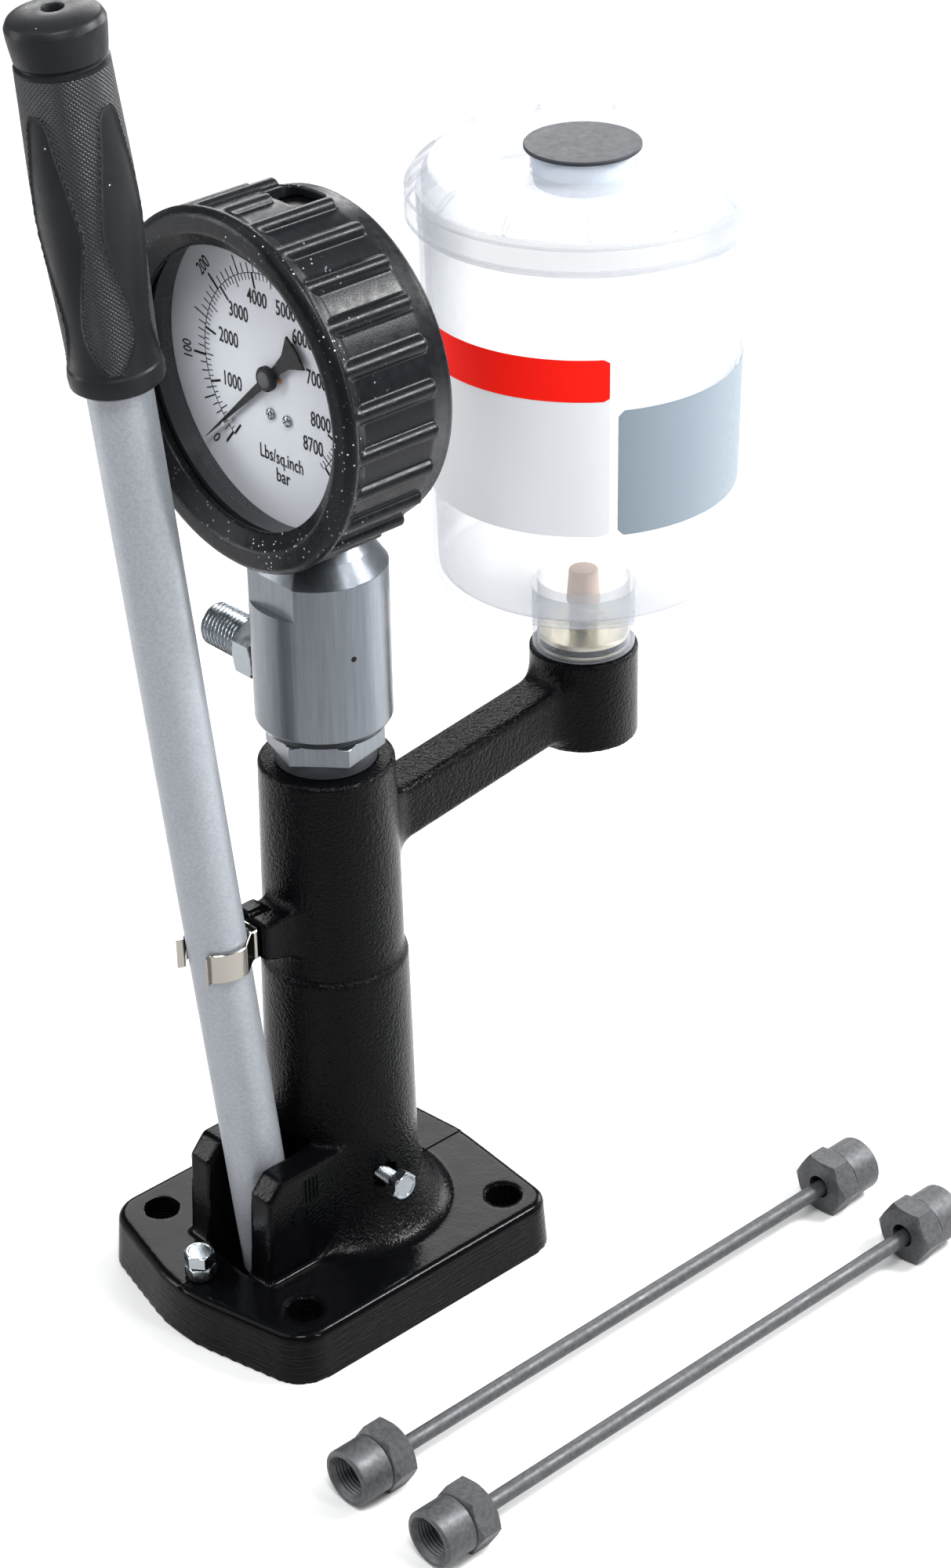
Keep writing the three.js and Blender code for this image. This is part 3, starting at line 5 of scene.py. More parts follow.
import bmesh
import bpy
import numpy as np
from mathutils import Matrix, Vector
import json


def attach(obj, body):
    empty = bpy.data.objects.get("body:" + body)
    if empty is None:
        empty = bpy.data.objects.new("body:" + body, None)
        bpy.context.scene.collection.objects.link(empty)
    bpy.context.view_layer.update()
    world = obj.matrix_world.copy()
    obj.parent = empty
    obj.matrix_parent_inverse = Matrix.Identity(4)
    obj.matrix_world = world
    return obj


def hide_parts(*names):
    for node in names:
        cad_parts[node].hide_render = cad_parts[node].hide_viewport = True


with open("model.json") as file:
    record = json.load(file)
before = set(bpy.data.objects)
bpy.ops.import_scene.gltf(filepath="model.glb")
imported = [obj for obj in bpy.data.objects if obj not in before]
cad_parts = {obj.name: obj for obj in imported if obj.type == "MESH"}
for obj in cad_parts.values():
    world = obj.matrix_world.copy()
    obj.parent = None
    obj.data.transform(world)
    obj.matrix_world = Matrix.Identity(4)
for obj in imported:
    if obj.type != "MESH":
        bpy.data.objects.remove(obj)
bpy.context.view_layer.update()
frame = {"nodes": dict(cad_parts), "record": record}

MM = 0.001
# Grid cells of the cast and moulded shapes
CASTING_CELL = 1.2
BOOT_CELL = 0.85
LEVER_PIVOT = (-40.0, 0.0, 44.0)
LEVER_LEAN = math.radians(6.4)
# The grip's radius where its pattern is measured, and the distance between the pattern's lines
GRIP_ROUND = 15.4
GRIP_LINE_STEP = 1.1
UPRIGHT = Matrix.Identity(4)
# Nearer the axis than this a turned profile has one point, and heights agree within the slack
ON_AXIS = 1e-9
SLACK = 1e-6


def at(x, y, z):
    return Matrix.Translation((x, y, z))


def along_x(x, y, z):
    return at(x, y, z) @ Matrix.Rotation(math.pi / 2, 4, "Y")


def along_y(x, y, z):
    return at(x, y, z) @ Matrix.Rotation(-math.pi / 2, 4, "X")


# Camera, worked out from the photograph's own shapes
CAMERA_PLACE = (-0.68444, -0.83046, 0.82695)
CAMERA_RIGHT = (0.73355, -0.67943, -0.01682)
CAMERA_UP = (0.35417, 0.36102, 0.86269)
CAMERA_AHEAD = (0.58006, 0.63878, -0.50546)
CAMERA_LENS = 82.02
SENSOR_HEIGHT = 36


def set_camera():
    data = bpy.data.cameras.new("photo_camera")
    data.sensor_fit = "VERTICAL"
    data.sensor_height = SENSOR_HEIGHT
    data.lens = CAMERA_LENS
    data.clip_start = 0.05
    data.clip_end = 20
    camera = bpy.data.objects.new("photo_camera", data)
    bpy.context.scene.collection.objects.link(camera)
    turn = Matrix((CAMERA_RIGHT, CAMERA_UP, [-v for v in CAMERA_AHEAD])).transposed().to_4x4()
    camera.matrix_world = Matrix.Translation(CAMERA_PLACE) @ turn
    bpy.context.scene.camera = camera


# Materials
class Look:
    """A node tree on one Principled shader, built up a step at a time."""

    def __init__(self, name, color, roughness, metal=0.0, **sockets):
        self.material = bpy.data.materials.new(name)
        self.material.use_nodes = True
        self.tree = self.material.node_tree
        self.shader = self.tree.nodes["Principled BSDF"]
        self.shader.inputs["Base Color"].default_value = (*color, 1)
        self.shader.inputs["Roughness"].default_value = roughness
        self.shader.inputs["Metallic"].default_value = metal
        for socket, value in sockets.items():
            self.shader.inputs[socket.replace("_", " ")].default_value = value
        self.place = self.node("ShaderNodeTexCoord").outputs["Object"]
        self.normal = None

    def node(self, kind, **values):
        node = self.tree.nodes.new(kind)
        for name, value in values.items():
            if name in node.inputs:
                node.inputs[name].default_value = value
            else:
                setattr(node, name, value)
        return node

    def link(self, source, target):
        self.tree.links.new(source, target)

    def stretched(self, scale, turn=(0, 0, 0)):
        mapping = self.node("ShaderNodeMapping")
        mapping.inputs["Scale"].default_value = scale
        mapping.inputs["Rotation"].default_value = turn
        self.link(self.place, mapping.inputs["Vector"])
        return mapping.outputs["Vector"]

    def noise(self, scale, detail=3.0, rough=0.55, place=None):
        node = self.node("ShaderNodeTexNoise", Scale=scale, Detail=detail, Roughness=rough)
        self.link(place or self.place, node.inputs["Vector"])
        return node.outputs["Fac"]

    def cells(self, scale):
        node = self.node("ShaderNodeTexVoronoi", Scale=scale)
        self.link(self.place, node.inputs["Vector"])
        return node.outputs["Distance"]

    def range(self, value, low, high, to_low, to_high):
        node = self.node("ShaderNodeMapRange")
        node.inputs["From Min"].default_value = low
        node.inputs["From Max"].default_value = high
        node.inputs["To Min"].default_value = to_low
        node.inputs["To Max"].default_value = to_high
        self.link(value, node.inputs["Value"])
        return node.outputs["Result"]

    def mixed(self, share, first, second):
        node = self.node("ShaderNodeMix")
        node.data_type = "RGBA"
        self.link(share, node.inputs["Factor"])
        for index, value in ((6, first), (7, second)):
            if isinstance(value, tuple):
                node.inputs[index].default_value = (*value, 1)
            else:
                self.link(value, node.inputs[index])
        return node.outputs[2]

    def color(self, source):
        self.link(source, self.shader.inputs["Base Color"])

    def roughness(self, source):
        self.link(source, self.shader.inputs["Roughness"])

    def parts(self, vector):
        """The X, Y and Z of a vector."""
        node = self.node("ShaderNodeSeparateXYZ")
        self.link(vector, node.inputs[0])
        return node.outputs

    def upward(self):
        """How far the surface faces up, from -1 to 1."""
        return self.parts(self.node("ShaderNodeNewGeometry").outputs["Normal"])["Z"]

    def combined(self, operation, first, second):
        node = self.node("ShaderNodeMath")
        node.operation = operation
        for index, value in enumerate((first, second)):
            if isinstance(value, (int, float)):
                node.inputs[index].default_value = value
            else:
                self.link(value, node.inputs[index])
        return node.outputs[0]

    def bump(self, height, strength, distance):
        node = self.node("ShaderNodeBump", Distance=distance)
        if isinstance(strength, (int, float)):
            node.inputs["Strength"].default_value = strength
        else:
            self.link(strength, node.inputs["Strength"])
        self.link(height, node.inputs["Height"])
        if self.normal:
            self.link(self.normal, node.inputs["Normal"])
        self.normal = node.outputs["Normal"]
        self.link(self.normal, self.shader.inputs["Normal"])


def black_paint():
    """Gloss paint over sand-cast iron: grain on the column and arm, brush lines round the plate's wall."""
    look = Look("black_paint", (0.0011, 0.0012, 0.0015), 0.2, Specular_IOR_Level=0.06)
    look.roughness(look.range(look.noise(45, 4), 0.3, 0.75, 0.1, 0.21))
    place = look.parts(look.place)
    above_plate = look.range(place["Z"], 0.0205, 0.026, 0.1, 0.8)
    behind_ears = look.range(place["X"], -0.036, -0.026, 0.25, 1)
    look.bump(look.noise(110, 3), 0.14, 0.001)
    look.bump(look.noise(850, 2, 0.6), look.combined("MULTIPLY", above_plate, behind_ears), 0.0007)
    marked = look.range(place["Y"], -0.0218, -0.0222, 0, 1)
    for part, low, high, first, last in (("Z", 0.048, 0.049, 0, 1), ("Z", 0.0575, 0.0585, 1, 0),
                                         ("X", -0.0385, -0.038, 0, 1), ("X", -0.0315, -0.031, 1, 0)):
        marked = look.combined("MULTIPLY", marked, look.range(place[part], low, high, first, last))
    rows = look.combined("SINE", look.combined("MULTIPLY", place["X"], 2 * math.pi / 0.0018), 0)
    look.bump(rows, marked, 0.0005)
    wall = look.combined("MULTIPLY", look.range(place["Z"], 0.0175, 0.0195, 1, 0),
                         look.range(look.upward(), 0.2, 0.4, 1, 0))
    lines = look.noise(70, 3, 0.6, look.stretched((1, 1, 24)))
    look.bump(lines, look.combined("MULTIPLY", wall, 0.7), 0.0006)
    return look.material


def zinc_plate():
    look = Look("zinc_plate", (0.26, 0.28, 0.3), 0.34, 0.95)
    streaks = look.noise(60, 4, 0.6, look.stretched((16, 16, 0.6)))
    share = look.range(streaks, 0.35, 0.7, 0, 1)
    look.color(look.mixed(share, (0.108, 0.118, 0.132), (0.134, 0.146, 0.162)))
    look.roughness(look.range(look.noise(220, 4), 0.3, 0.7, 0.27, 0.33))
    look.bump(look.noise(500, 3, 0.6, look.stretched((3, 3, 0.4))), 0.12, 0.0002)
    return look.material


def bright_zinc():
    look = Look("bright_zinc", (0.27, 0.295, 0.315), 0.22, 1.0)
    look.roughness(look.range(look.noise(300, 3), 0.3, 0.7, 0.16, 0.32))
    look.bump(look.noise(400, 2), 0.1, 0.0002)
    return look.material


def bare_steel():
    look = Look("bare_steel", (0.56, 0.56, 0.57), 0.3, 1.0)
    look.roughness(look.range(look.noise(200, 4), 0.3, 0.7, 0.24, 0.4))
    return look.material


def phosphated_steel():
    look = Look("phosphated_steel", (0.045, 0.046, 0.05), 0.5, 0.45)
    share = look.range(look.noise(620, 4, 0.6), 0.35, 0.68, 0, 1)
    look.color(look.mixed(share, (0.034, 0.035, 0.038), (0.062, 0.064, 0.069)))
    look.roughness(look.range(look.noise(120, 4), 0.3, 0.7, 0.38, 0.6))
    look.bump(look.noise(900, 3), 0.25, 0.0002)
    return look.material


def spring_steel():
    look = Look("spring_steel", (0.27, 0.253, 0.23), 0.14, 1.0)
    look.bump(look.noise(300, 2), 0.08, 0.0002)
    return look.material


def lever_steel():
    look = Look("lever_steel", (0.34, 0.35, 0.37), 0.42, 0.4)
    fine = look.noise(900, 4, 0.7)
    share = look.range(fine, 0.35, 0.65, 0, 1)
    look.color(look.mixed(share, (0.195, 0.208, 0.23), (0.245, 0.258, 0.282)))
    look.roughness(look.range(look.noise(90, 4), 0.3, 0.7, 0.36, 0.5))
    look.bump(fine, 0.2, 0.0002)
    return look.material


def turned_metal(name, color, roughness):
    look = Look(name, color, roughness, 1.0)
    look.roughness(look.range(look.noise(250, 3), 0.3, 0.7, roughness - 0.06, roughness + 0.1))
    return look.material


def moulded_rubber(name, color, roughness, fleck_cells, fleck_size, masked):
    """Black rubber with small pale flecks, masked ones only on the gauge boot's lip and ribs."""
    look = Look(name, color, roughness, Specular_IOR_Level=0.1)
    cloudy = look.range(look.noise(40, 4), 0.35, 0.7, 0, 1)
    plain = look.mixed(cloudy, color, tuple(1.35 * c for c in color))
    flecks = look.range(look.cells(fleck_cells), fleck_size * 0.7, fleck_size, 1, 0)
    if masked:
        place = look.parts(look.place)
        for part, low, high, first, last in (("X", -0.031, -0.014, 1, 0), ("Y", -0.01, 0.02, 1, 0.1)):
            flecks = look.combined("MULTIPLY", flecks, look.range(place[part], low, high, first, last))
        flecks = look.combined("MULTIPLY", flecks, look.range(look.noise(75, 2), 0.5, 0.56, 0.05, 1))
    look.color(look.mixed(flecks, plain, (0.4, 0.42, 0.45)))
    look.roughness(look.range(look.noise(300, 4), 0.3, 0.7, roughness - 0.08, roughness + 0.08))
    look.bump(look.noise(1500, 3), 0.25, 0.00015)
    return look.material


def patterned_rubber():
    """The grip's rubber between its panels, with crossed fine lines round the lever's own axis."""
    look = Look("patterned_rubber", (0.016, 0.0172, 0.0192), 0.5, Specular_IOR_Level=0.25)
    look.roughness(look.range(look.noise(300, 4), 0.3, 0.7, 0.42, 0.58))
    mapping = look.node("ShaderNodeMapping")
    mapping.vector_type = "TEXTURE"
    mapping.inputs["Location"].default_value = [v * MM for v in LEVER_PIVOT]
    mapping.inputs["Rotation"].default_value = (0, -LEVER_LEAN, 0)
    look.link(look.place, mapping.inputs["Vector"])
    place = look.parts(mapping.outputs["Vector"])
    arc = look.combined("MULTIPLY", look.combined("ARCTAN2", place["Y"], place["X"]), GRIP_ROUND * MM)
    turns = 2 * math.pi / (GRIP_LINE_STEP * MM * math.sqrt(2))
    lines = []
    for kind in ("ADD", "SUBTRACT"):
        across = look.combined("MULTIPLY", look.combined(kind, arc, place["Z"]), turns)
        lines.append(look.combined("SINE", across, 0))
    look.bump(look.combined("MAXIMUM", *lines), 0.9, 0.00035)
    return look.material


def see_through(name, color, roughness, facing, edge, shine):
    """Milky plastic or glass: a thin veil that is denser where the wall is seen from the side."""
    look = Look(name, color, roughness, Specular_IOR_Level=shine)
    look.roughness(look.range(look.noise(60, 3), 0.3, 0.7, roughness * 0.8, roughness * 1.2))
    weight = look.node("ShaderNodeLayerWeight", Blend=0.5).outputs["Facing"]
    look.link(look.range(weight, 0.3, 0.95, facing, edge), look.shader.inputs["Alpha"])
    return look.material


def plain_look(name, color, roughness, shine=0.5):
    look = Look(name, color, roughness, Specular_IOR_Level=shine)
    look.roughness(look.range(look.noise(400, 3), 0.3, 0.7, roughness - 0.05, roughness + 0.06))
    return look.material


materials = {
    "cast_black_paint": black_paint(),
    "zinc_plate": zinc_plate(),
    "bright_zinc": bright_zinc(),
    "bare_steel": bare_steel(),
    "phosphated_steel": phosphated_steel(),
    "spring_steel": spring_steel(),
    "lever_steel": lever_steel(),
    "brass": turned_metal("brass", (0.5, 0.47, 0.38), 0.35),
    "copper": turned_metal("copper", (0.72, 0.42, 0.28), 0.32),
    "filter_bronze": plain_look("filter_bronze", (0.52, 0.4, 0.33), 0.8),
    "black_rubber": moulded_rubber("black_rubber", (0.0035, 0.004, 0.005), 0.31, 520, 0.19, True),
    "grip_rubber": moulded_rubber("grip_rubber", (0.0065, 0.007, 0.008), 0.4, 130, 0.045, False),
    "clear_plastic": see_through("clear_plastic", (0.3, 0.318, 0.348), 0.3, 0.14, 0.6, 0.2),
    "vent_plastic": see_through("vent_plastic", (0.44, 0.49, 0.56), 0.3, 0.7, 0.9, 0.4),
    "dark_plastic": plain_look("dark_plastic", (0.022, 0.024, 0.028), 0.5, 0.15),
    "black_enamel": plain_look("black_enamel", (0.0025, 0.0025, 0.003), 0.3, 0.1),
    "dial_face": plain_look("dial_face", (0.5, 0.52, 0.56), 0.4, 0.3),
    "glass": see_through("glass", (0.02, 0.022, 0.025), 0.03, 0.012, 0.16, 0.4),
    "print_black": plain_look("print_black", (0.004, 0.004, 0.005), 0.5, 0.1),
}
signal_orange = plain_look("signal_orange", (0.45, 0.17, 0.04), 0.4)
liner_grey = plain_look("liner_grey", (0.02, 0.022, 0.025), 0.2)
grip_pattern = patterned_rubber()
band_grey = plain_look("band_grey", (0.46, 0.47, 0.49), 0.5, 0.2)
band_red = plain_look("band_red", (0.6, 0.008, 0.004), 0.6, 0.05)
band_blue = plain_look("band_blue", (0.13, 0.16, 0.186), 0.5, 0.2)

slot_of = {s["node"]: s["material_slot"] for s in frame["record"]["subparts"]}


# Shapes: a shape is its points in millimetres and its faces, outward
def eased(profile, steps=5):
    """A profile of (radius, height) or (radius, height, ease) with each eased corner rounded off."""
    points = []
    last = len(profile) - 1
    for i, corner in enumerate(profile):
        here = np.array(corner[:2], float)
        if len(corner) < 3:
            points.append(tuple(here))
            continue
        before = np.array(profile[i - 1 if i else last][:2], float)
        after = np.array(profile[(i + 1) % len(profile)][:2], float)
        back = (before - here) / np.linalg.norm(before - here)
        ahead = (after - here) / np.linalg.norm(after - here)
        half = math.acos(max(-1.0, min(1.0, float(back @ ahead)))) / 2
        reach = corner[2] / max(math.tan(half), 1e-6)
        centre = here + (back + ahead) / np.linalg.norm(back + ahead) * corner[2] / math.sin(half)
        start = here + back * reach - centre
        end = here + ahead * reach - centre
        turn = math.atan2(start[0] * end[1] - start[1] * end[0], float(start @ end))
        for k in range(steps + 1):
            a = turn * k / steps
            points.append((centre[0] + start[0] * math.cos(a) - start[1] * math.sin(a),
                           centre[1] + start[0] * math.sin(a) + start[1] * math.cos(a)))
    return points


def moved(shape, place):
    points = np.asarray(shape[0], float)
    turn = np.array(place.to_3x3())
    return points @ turn.T + np.array(place.translation), shape[1]


def joined(*shapes):
    points = []
    faces = []
    count = 0
    for shape_points, shape_faces in shapes:
        points.append(np.asarray(shape_points, float))
        faces.extend(tuple(count + i for i in face) for face in shape_faces)
        count += len(shape_points)
    return np.concatenate(points), faces


def spun(profile, sides=96, place=UPRIGHT, trim=None, turns=None):
    """A profile turned about local Z, where trim(turns, radius, height) gives the radius that is left."""
    rows = [tuple(p[:2]) for p in profile]
    area = sum(a[0] * b[1] - b[0] * a[1] for a, b in zip(rows, rows[1:] + rows[:1]))
    if area < 0:
        rows.reverse()
    if turns is None:
        turns = [2 * math.pi * k / sides for k in range(sides)]
    turns = np.array(turns)
    count = len(turns)
    points = []
    starts = []
    for radius, height in rows:
        starts.append(len(points))
        if radius < ON_AXIS:
            points.append((0.0, 0.0, height))
            continue
        reach = np.full(count, radius)
        if trim is not None:
            reach = np.minimum(reach, trim(turns, reach, height))
        points.extend(zip(reach * np.cos(turns), reach * np.sin(turns), np.full(count, height)))
    faces = []
    single = [radius < ON_AXIS for radius, height in rows]
    pairs = list(zip(range(len(rows) - 1), range(1, len(rows))))
    if not single[0] and not single[-1]:
        pairs.append((len(rows) - 1, 0))
    for a, b in pairs:
        if single[a] and single[b]:
            continue
        one, two = starts[a], starts[b]
        for k in range(count):
            n = (k + 1) % count
            if single[a]:
                faces.append((one, two + n, two + k))
            elif single[b]:
                faces.append((one + k, one + n, two))
            else:
                faces.append((one + k, one + n, two + n, two + k))
    return moved((points, faces), place)


def hexagon_trim(across, low, high, first):
    """Six flats between two heights, the first corner at the turn given."""
    def trim(turns, reach, height):
        if not low - SLACK <= height <= high + SLACK:
            return reach
        off = (turns - first + math.pi / 6) % (math.pi / 3) - math.pi / 6
        return across / 2 / np.cos(math.pi / 6 - np.abs(off))
    return trim


def hexagon_turns(first, each):
    """Turns whose every sixth part starts on a corner."""
    return [first + math.pi / 3 * (k + j / each) for k in range(6) for j in range(each)]


def hex_profile(across, low, high, low_cut=True, high_cut=True):
    """The outer walk of a hexagon whose corners are turned off by a 30 degree cone at either end."""
    corner = across / math.sqrt(3)
    face = across * 0.475
    rise = (corner - face) * math.tan(math.pi / 6)
    walk = []
    if low_cut:
        walk.append((face, low))
        walk += [(face + (corner - face) * k / 4, low + rise * k / 4) for k in range(1, 5)]
    else:
        walk.append((corner, low))
    if high_cut:
        walk += [(corner - (corner - face) * k / 4, high - rise + rise * k / 4) for k in range(5)]
    else:
        walk.append((corner, high))
    return walk


def box_shape(low, high):
    (a, b, c), (d, e, f) = low, high
    points = [(a, b, c), (d, b, c), (d, e, c), (a, e, c), (a, b, f), (d, b, f), (d, e, f), (a, e, f)]
    faces = [(0, 3, 2, 1), (4, 5, 6, 7), (0, 1, 5, 4), (1, 2, 6, 5), (2, 3, 7, 6), (3, 0, 4, 7)]
    return points, faces


def swept(rings):
    """Rings of points in a row, joined by four-sided faces and closed at both ends."""
    size = len(rings[0])
    faces = []
    for i in range(len(rings) - 1):
        for k in range(size):
            n = (k + 1) % size
            faces.append((i * size + k, i * size + n, (i + 1) * size + n, (i + 1) * size + k))
    faces.append(tuple(reversed(range(size))))
    faces.append(tuple(range((len(rings) - 1) * size, len(rings) * size)))
    return np.array(rings, float).reshape(-1, 3), faces


def strip(walk, thickness, low, high):
    """A bent strip: a walk in the plane, given a thickness to its left, and drawn from low to high."""
    walk = np.array(walk, float)
    ahead = np.gradient(walk, axis=0)
    ahead /= np.linalg.norm(ahead, axis=1)[:, None]
    left = np.stack([-ahead[:, 1], ahead[:, 0]], axis=1)
    ease = min(0.25, thickness * 0.3)
    section = [(ease, low), (thickness - ease, low), (thickness, low + ease), (thickness, high - ease),
               (thickness - ease, high), (ease, high), (0, high - ease), (0, low + ease)]
    return swept([[(p[0] + n[0] * t, p[1] + n[1] * t, h) for t, h in section] for p, n in zip(walk, left)])


def smoothed(points, steps):
    """A walk on a smooth curve through the points, from the first to the last."""
    points = np.array(points, float)
    ends = np.vstack([2 * points[0] - points[1], points, 2 * points[-1] - points[-2]])
    walk = []
    for i in range(1, len(ends) - 2):
        a, b, c, d = ends[i - 1:i + 3]
        for t in np.arange(steps) / steps:
            walk.append(0.5 * (2 * b + (c - a) * t + (2 * a - 5 * b + 4 * c - d) * t ** 2
                               + (3 * b - a - 3 * c + d) * t ** 3))
    walk.append(points[-1])
    return np.array(walk)


def tube(walk, radii, sides):
    """A round bar along a walk in space, closed at both ends."""
    walk = np.array(walk, float)
    radii = np.broadcast_to(np.asarray(radii, float), len(walk))
    ahead = np.gradient(walk, axis=0)
    ahead /= np.linalg.norm(ahead, axis=1)[:, None]
    side = np.cross(ahead[0], (0.0, 0.0, 1.0) if abs(ahead[0][2]) < 0.9 else (1.0, 0.0, 0.0))
    turns = [2 * math.pi * k / sides for k in range(sides)]
    rings = []
    for p, r, d in zip(walk, radii, ahead):
        side = side - d * (side @ d)
        side /= np.linalg.norm(side)
        up = np.cross(d, side)
        rings.append([p + r * (math.cos(a) * side + math.sin(a) * up) for a in turns])
    return swept(rings)


def drawn(outline, low, high, place):
    """A closed outline in the plane, drawn up along local Z."""
    area = sum(a[0] * b[1] - b[0] * a[1] for a, b in zip(outline, outline[1:] + outline[:1]))
    if area < 0:
        outline = outline[::-1]
    return moved(swept([[(x, y, z) for x, y in outline] for z in (low, high)]), place)


# Cast and moulded shapes: a field is below zero inside the piece, and its skin is found on a grid
def outline_distance(x, y, outline):
    """How far a place in the plane is outside a closed outline."""
    x = np.asarray(x, np.float32)
    y = np.asarray(y, np.float32)
    best = None
    inside = None
    for (ax, ay), (bx, by) in zip(outline, outline[1:] + outline[:1]):
        ex, ey = bx - ax, by - ay
        wx, wy = x - ax, y - ay
        share = np.clip((wx * ex + wy * ey) / (ex * ex + ey * ey), 0, 1)
        gap = (wx - ex * share) ** 2 + (wy - ey * share) ** 2
        best = gap if best is None else np.minimum(best, gap)
        if abs(ey) > 1e-9:
            crossed = ((y >= ay) != (y >= by)) & (wx < ex * wy / ey)
            inside = crossed if inside is None else inside ^ crossed
    return np.where(inside, -np.sqrt(best), np.sqrt(best))


def rounded(first, second, ease):
    """Both fields at once, with the edge between them rounded."""
    a, b = first + ease, second + ease
    return np.minimum(np.maximum(a, b), 0) + np.hypot(np.maximum(a, 0), np.maximum(b, 0)) - ease


def between(value, low, high):
    """How far a value is outside a range."""
    return np.abs(value - (low + high) / 2) - (high - low) / 2


def filled(first, second, ease):
    """Either field, with a fillet where they meet."""
    share = np.clip(0.5 + 0.5 * (second - first) / ease, 0, 1)
    return second + (first - second) * share - ease * share * (1 - share)


def skin(field, low, high, cell):
    """The surface of a field as a mesh of four-sided faces, one point in each grid cell that it crosses."""
    axes = [np.arange(a, b + cell, cell, dtype=np.float32) for a, b in zip(low, high)]
    x, y, z = np.meshgrid(*axes, indexing="ij", sparse=True)
    value = field(x, y, z).astype(np.float32)
    shape = value.shape
    inside = value < 0
    cells = np.array(shape)
    weights = np.array([cells[1] * cells[2], cells[2], 1])
    owners = []
    places = []
    quads = []
    for axis in range(3):
        start = [slice(None)] * 3
        end = [slice(None)] * 3
        start[axis] = slice(0, -1)
        end[axis] = slice(1, None)
        found = np.argwhere(inside[tuple(start)] != inside[tuple(end)])
        here = value[tuple(found.T)]
        step = np.zeros(3, int)
        step[axis] = 1
        there = value[tuple((found + step).T)]
        spot = found.astype(float)
        spot[:, axis] += here / (here - there)
        b = np.zeros(3, int)
        c = np.zeros(3, int)
        b[(axis + 1) % 3] = 1
        c[(axis + 2) % 3] = 1
        round_it = [(found - b - c) @ weights, (found - c) @ weights, found @ weights,
                    (found - b) @ weights]
        for owner in round_it:
            owners.append(owner)
            places.append(spot)
        quad = np.stack(round_it, axis=1)
        quad[here >= 0] = quad[here >= 0][:, ::-1]
        quads.append(quad)
    owners = np.concatenate(owners)
    places = np.concatenate(places)
    names, index = np.unique(owners, return_inverse=True)
    count = np.bincount(index)
    middle = np.stack([np.bincount(index, places[:, k]) / count for k in range(3)], axis=1)
    points = (middle * cell + np.array(low)).astype(np.float32)
    for _ in range(2):
        off = 0.02
        px, py, pz = points.T
        at_point = field(px, py, pz)
        slope = np.stack([field(px + off, py, pz) - at_point, field(px, py + off, pz) - at_point,
                          field(px, py, pz + off) - at_point], axis=1) / off
        size = np.maximum((slope ** 2).sum(axis=1), 0.25)
        shift = np.clip(at_point / size, -cell * 0.4, cell * 0.4)
        points = points - slope * shift[:, None]
    faces = np.searchsorted(names, np.concatenate(quads))
    return points, faces


def finished(name, shape, slot, body, stands_for=(), material=None, sharp=28, even=True):
    """A piece from a shape, smooth but for its sharp edges, with its finish, body and replaced nodes."""
    points, faces = shape
    mesh = bpy.data.meshes.new(name)
    if isinstance(faces, np.ndarray):
        faces = faces.tolist()
    mesh.from_pydata((np.asarray(points, float) * MM).tolist(), [], faces)
    mesh.polygons.foreach_set("use_smooth", [True] * len(mesh.polygons))
    mesh.set_sharp_from_angle(angle=math.radians(sharp))
    mesh.materials.append(material or materials[slot])
    mesh.update()
    piece = bpy.data.objects.new(name, mesh)
    bpy.context.scene.collection.objects.link(piece)
    if even:
        normals = piece.modifiers.new("even_normals", "WEIGHTED_NORMAL")
        normals.keep_sharp = True
    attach(piece, body)
    if stands_for:
        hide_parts(*stands_for)
    return piece


# Base casting
PLATE_TOP = 21.0
PARTING_STEP = 0.45
COLUMN_TOP = 210.3
COLUMN_WALL_Z = (0.0, 21.0, 24.0, 27.5, 31.0, 35.0, 41.0, 96.0, 129.9, 130.6, 131.6, 170.0, 210.3)
COLUMN_WALL_R = (37.5, 37.0, 34.6, 32.2, 30.3, 28.7, 27.8, 27.1, 26.55, 26.3, 25.2, 24.7, 24.0)
BORE = 17.5
BORE_FLOOR = 6.0
SLOT_HALF = 11.5
SLOT_FRONT = -57.1
EAR_OUTER = 22.5
PIN_RADIUS = 4.0
PIN_END = 19.4
SCREW_HOLE = 3.3
BOLT_HOLE = 6.5
BOSS_X = 124.7
BOSS_RADIUS = 20.1
BOSS_TOP = 208.0
BOSS_FOOT = 171.9
BOSS_HOLE = 8.0
BOSS_HOLE_FLOOR = 184
# The arm's middle at the column's axis, its rise along X and the cosine of that slope
ARM_MIDDLE = 173.6
ARM_RISE = 0.1357
ARM_COSINE = 0.991
CLIP_HEIGHT = 152.9
CLIP_HALF = 5.7
LUG_LOW = 146.4
LUG_TOP = 160.4
LUG_DROP = 3.4
LUG_REACH = 38.3
STOP_SCREW_X = -69.3
GUIDE_SCREW = (-3.0, 46.0)
PARTING_FRONT = (-79, -57)
PARTING_REAR = (38, 58)
BOLT_PLACES = [(x, y) for x in (-54.8, 42.4) for y in (-40.9, 40.9)]


def plate_outline():
    half, front, rear = 56.5, -83.0, 61.5
    front_corner, rear_corner = front + 0.24 * half, rear - 0.1 * half
    corners = [(front, 0, 70), (front_corner, -half, 15), (rear_corner, -half, 12), (rear, 0, 60),
               (rear_corner, half, 12), (front_corner, half, 15)]
    return eased(corners, 8)


def ear_outline():
    return eased([(-56.3, 10), (0, 10), (0, 62.5), (-47.4, 62.5, 2.5), (-53.7, 55.6, 2.5)], 4)


PLATE_OUTLINE = plate_outline()
EAR_OUTLINE = ear_outline()


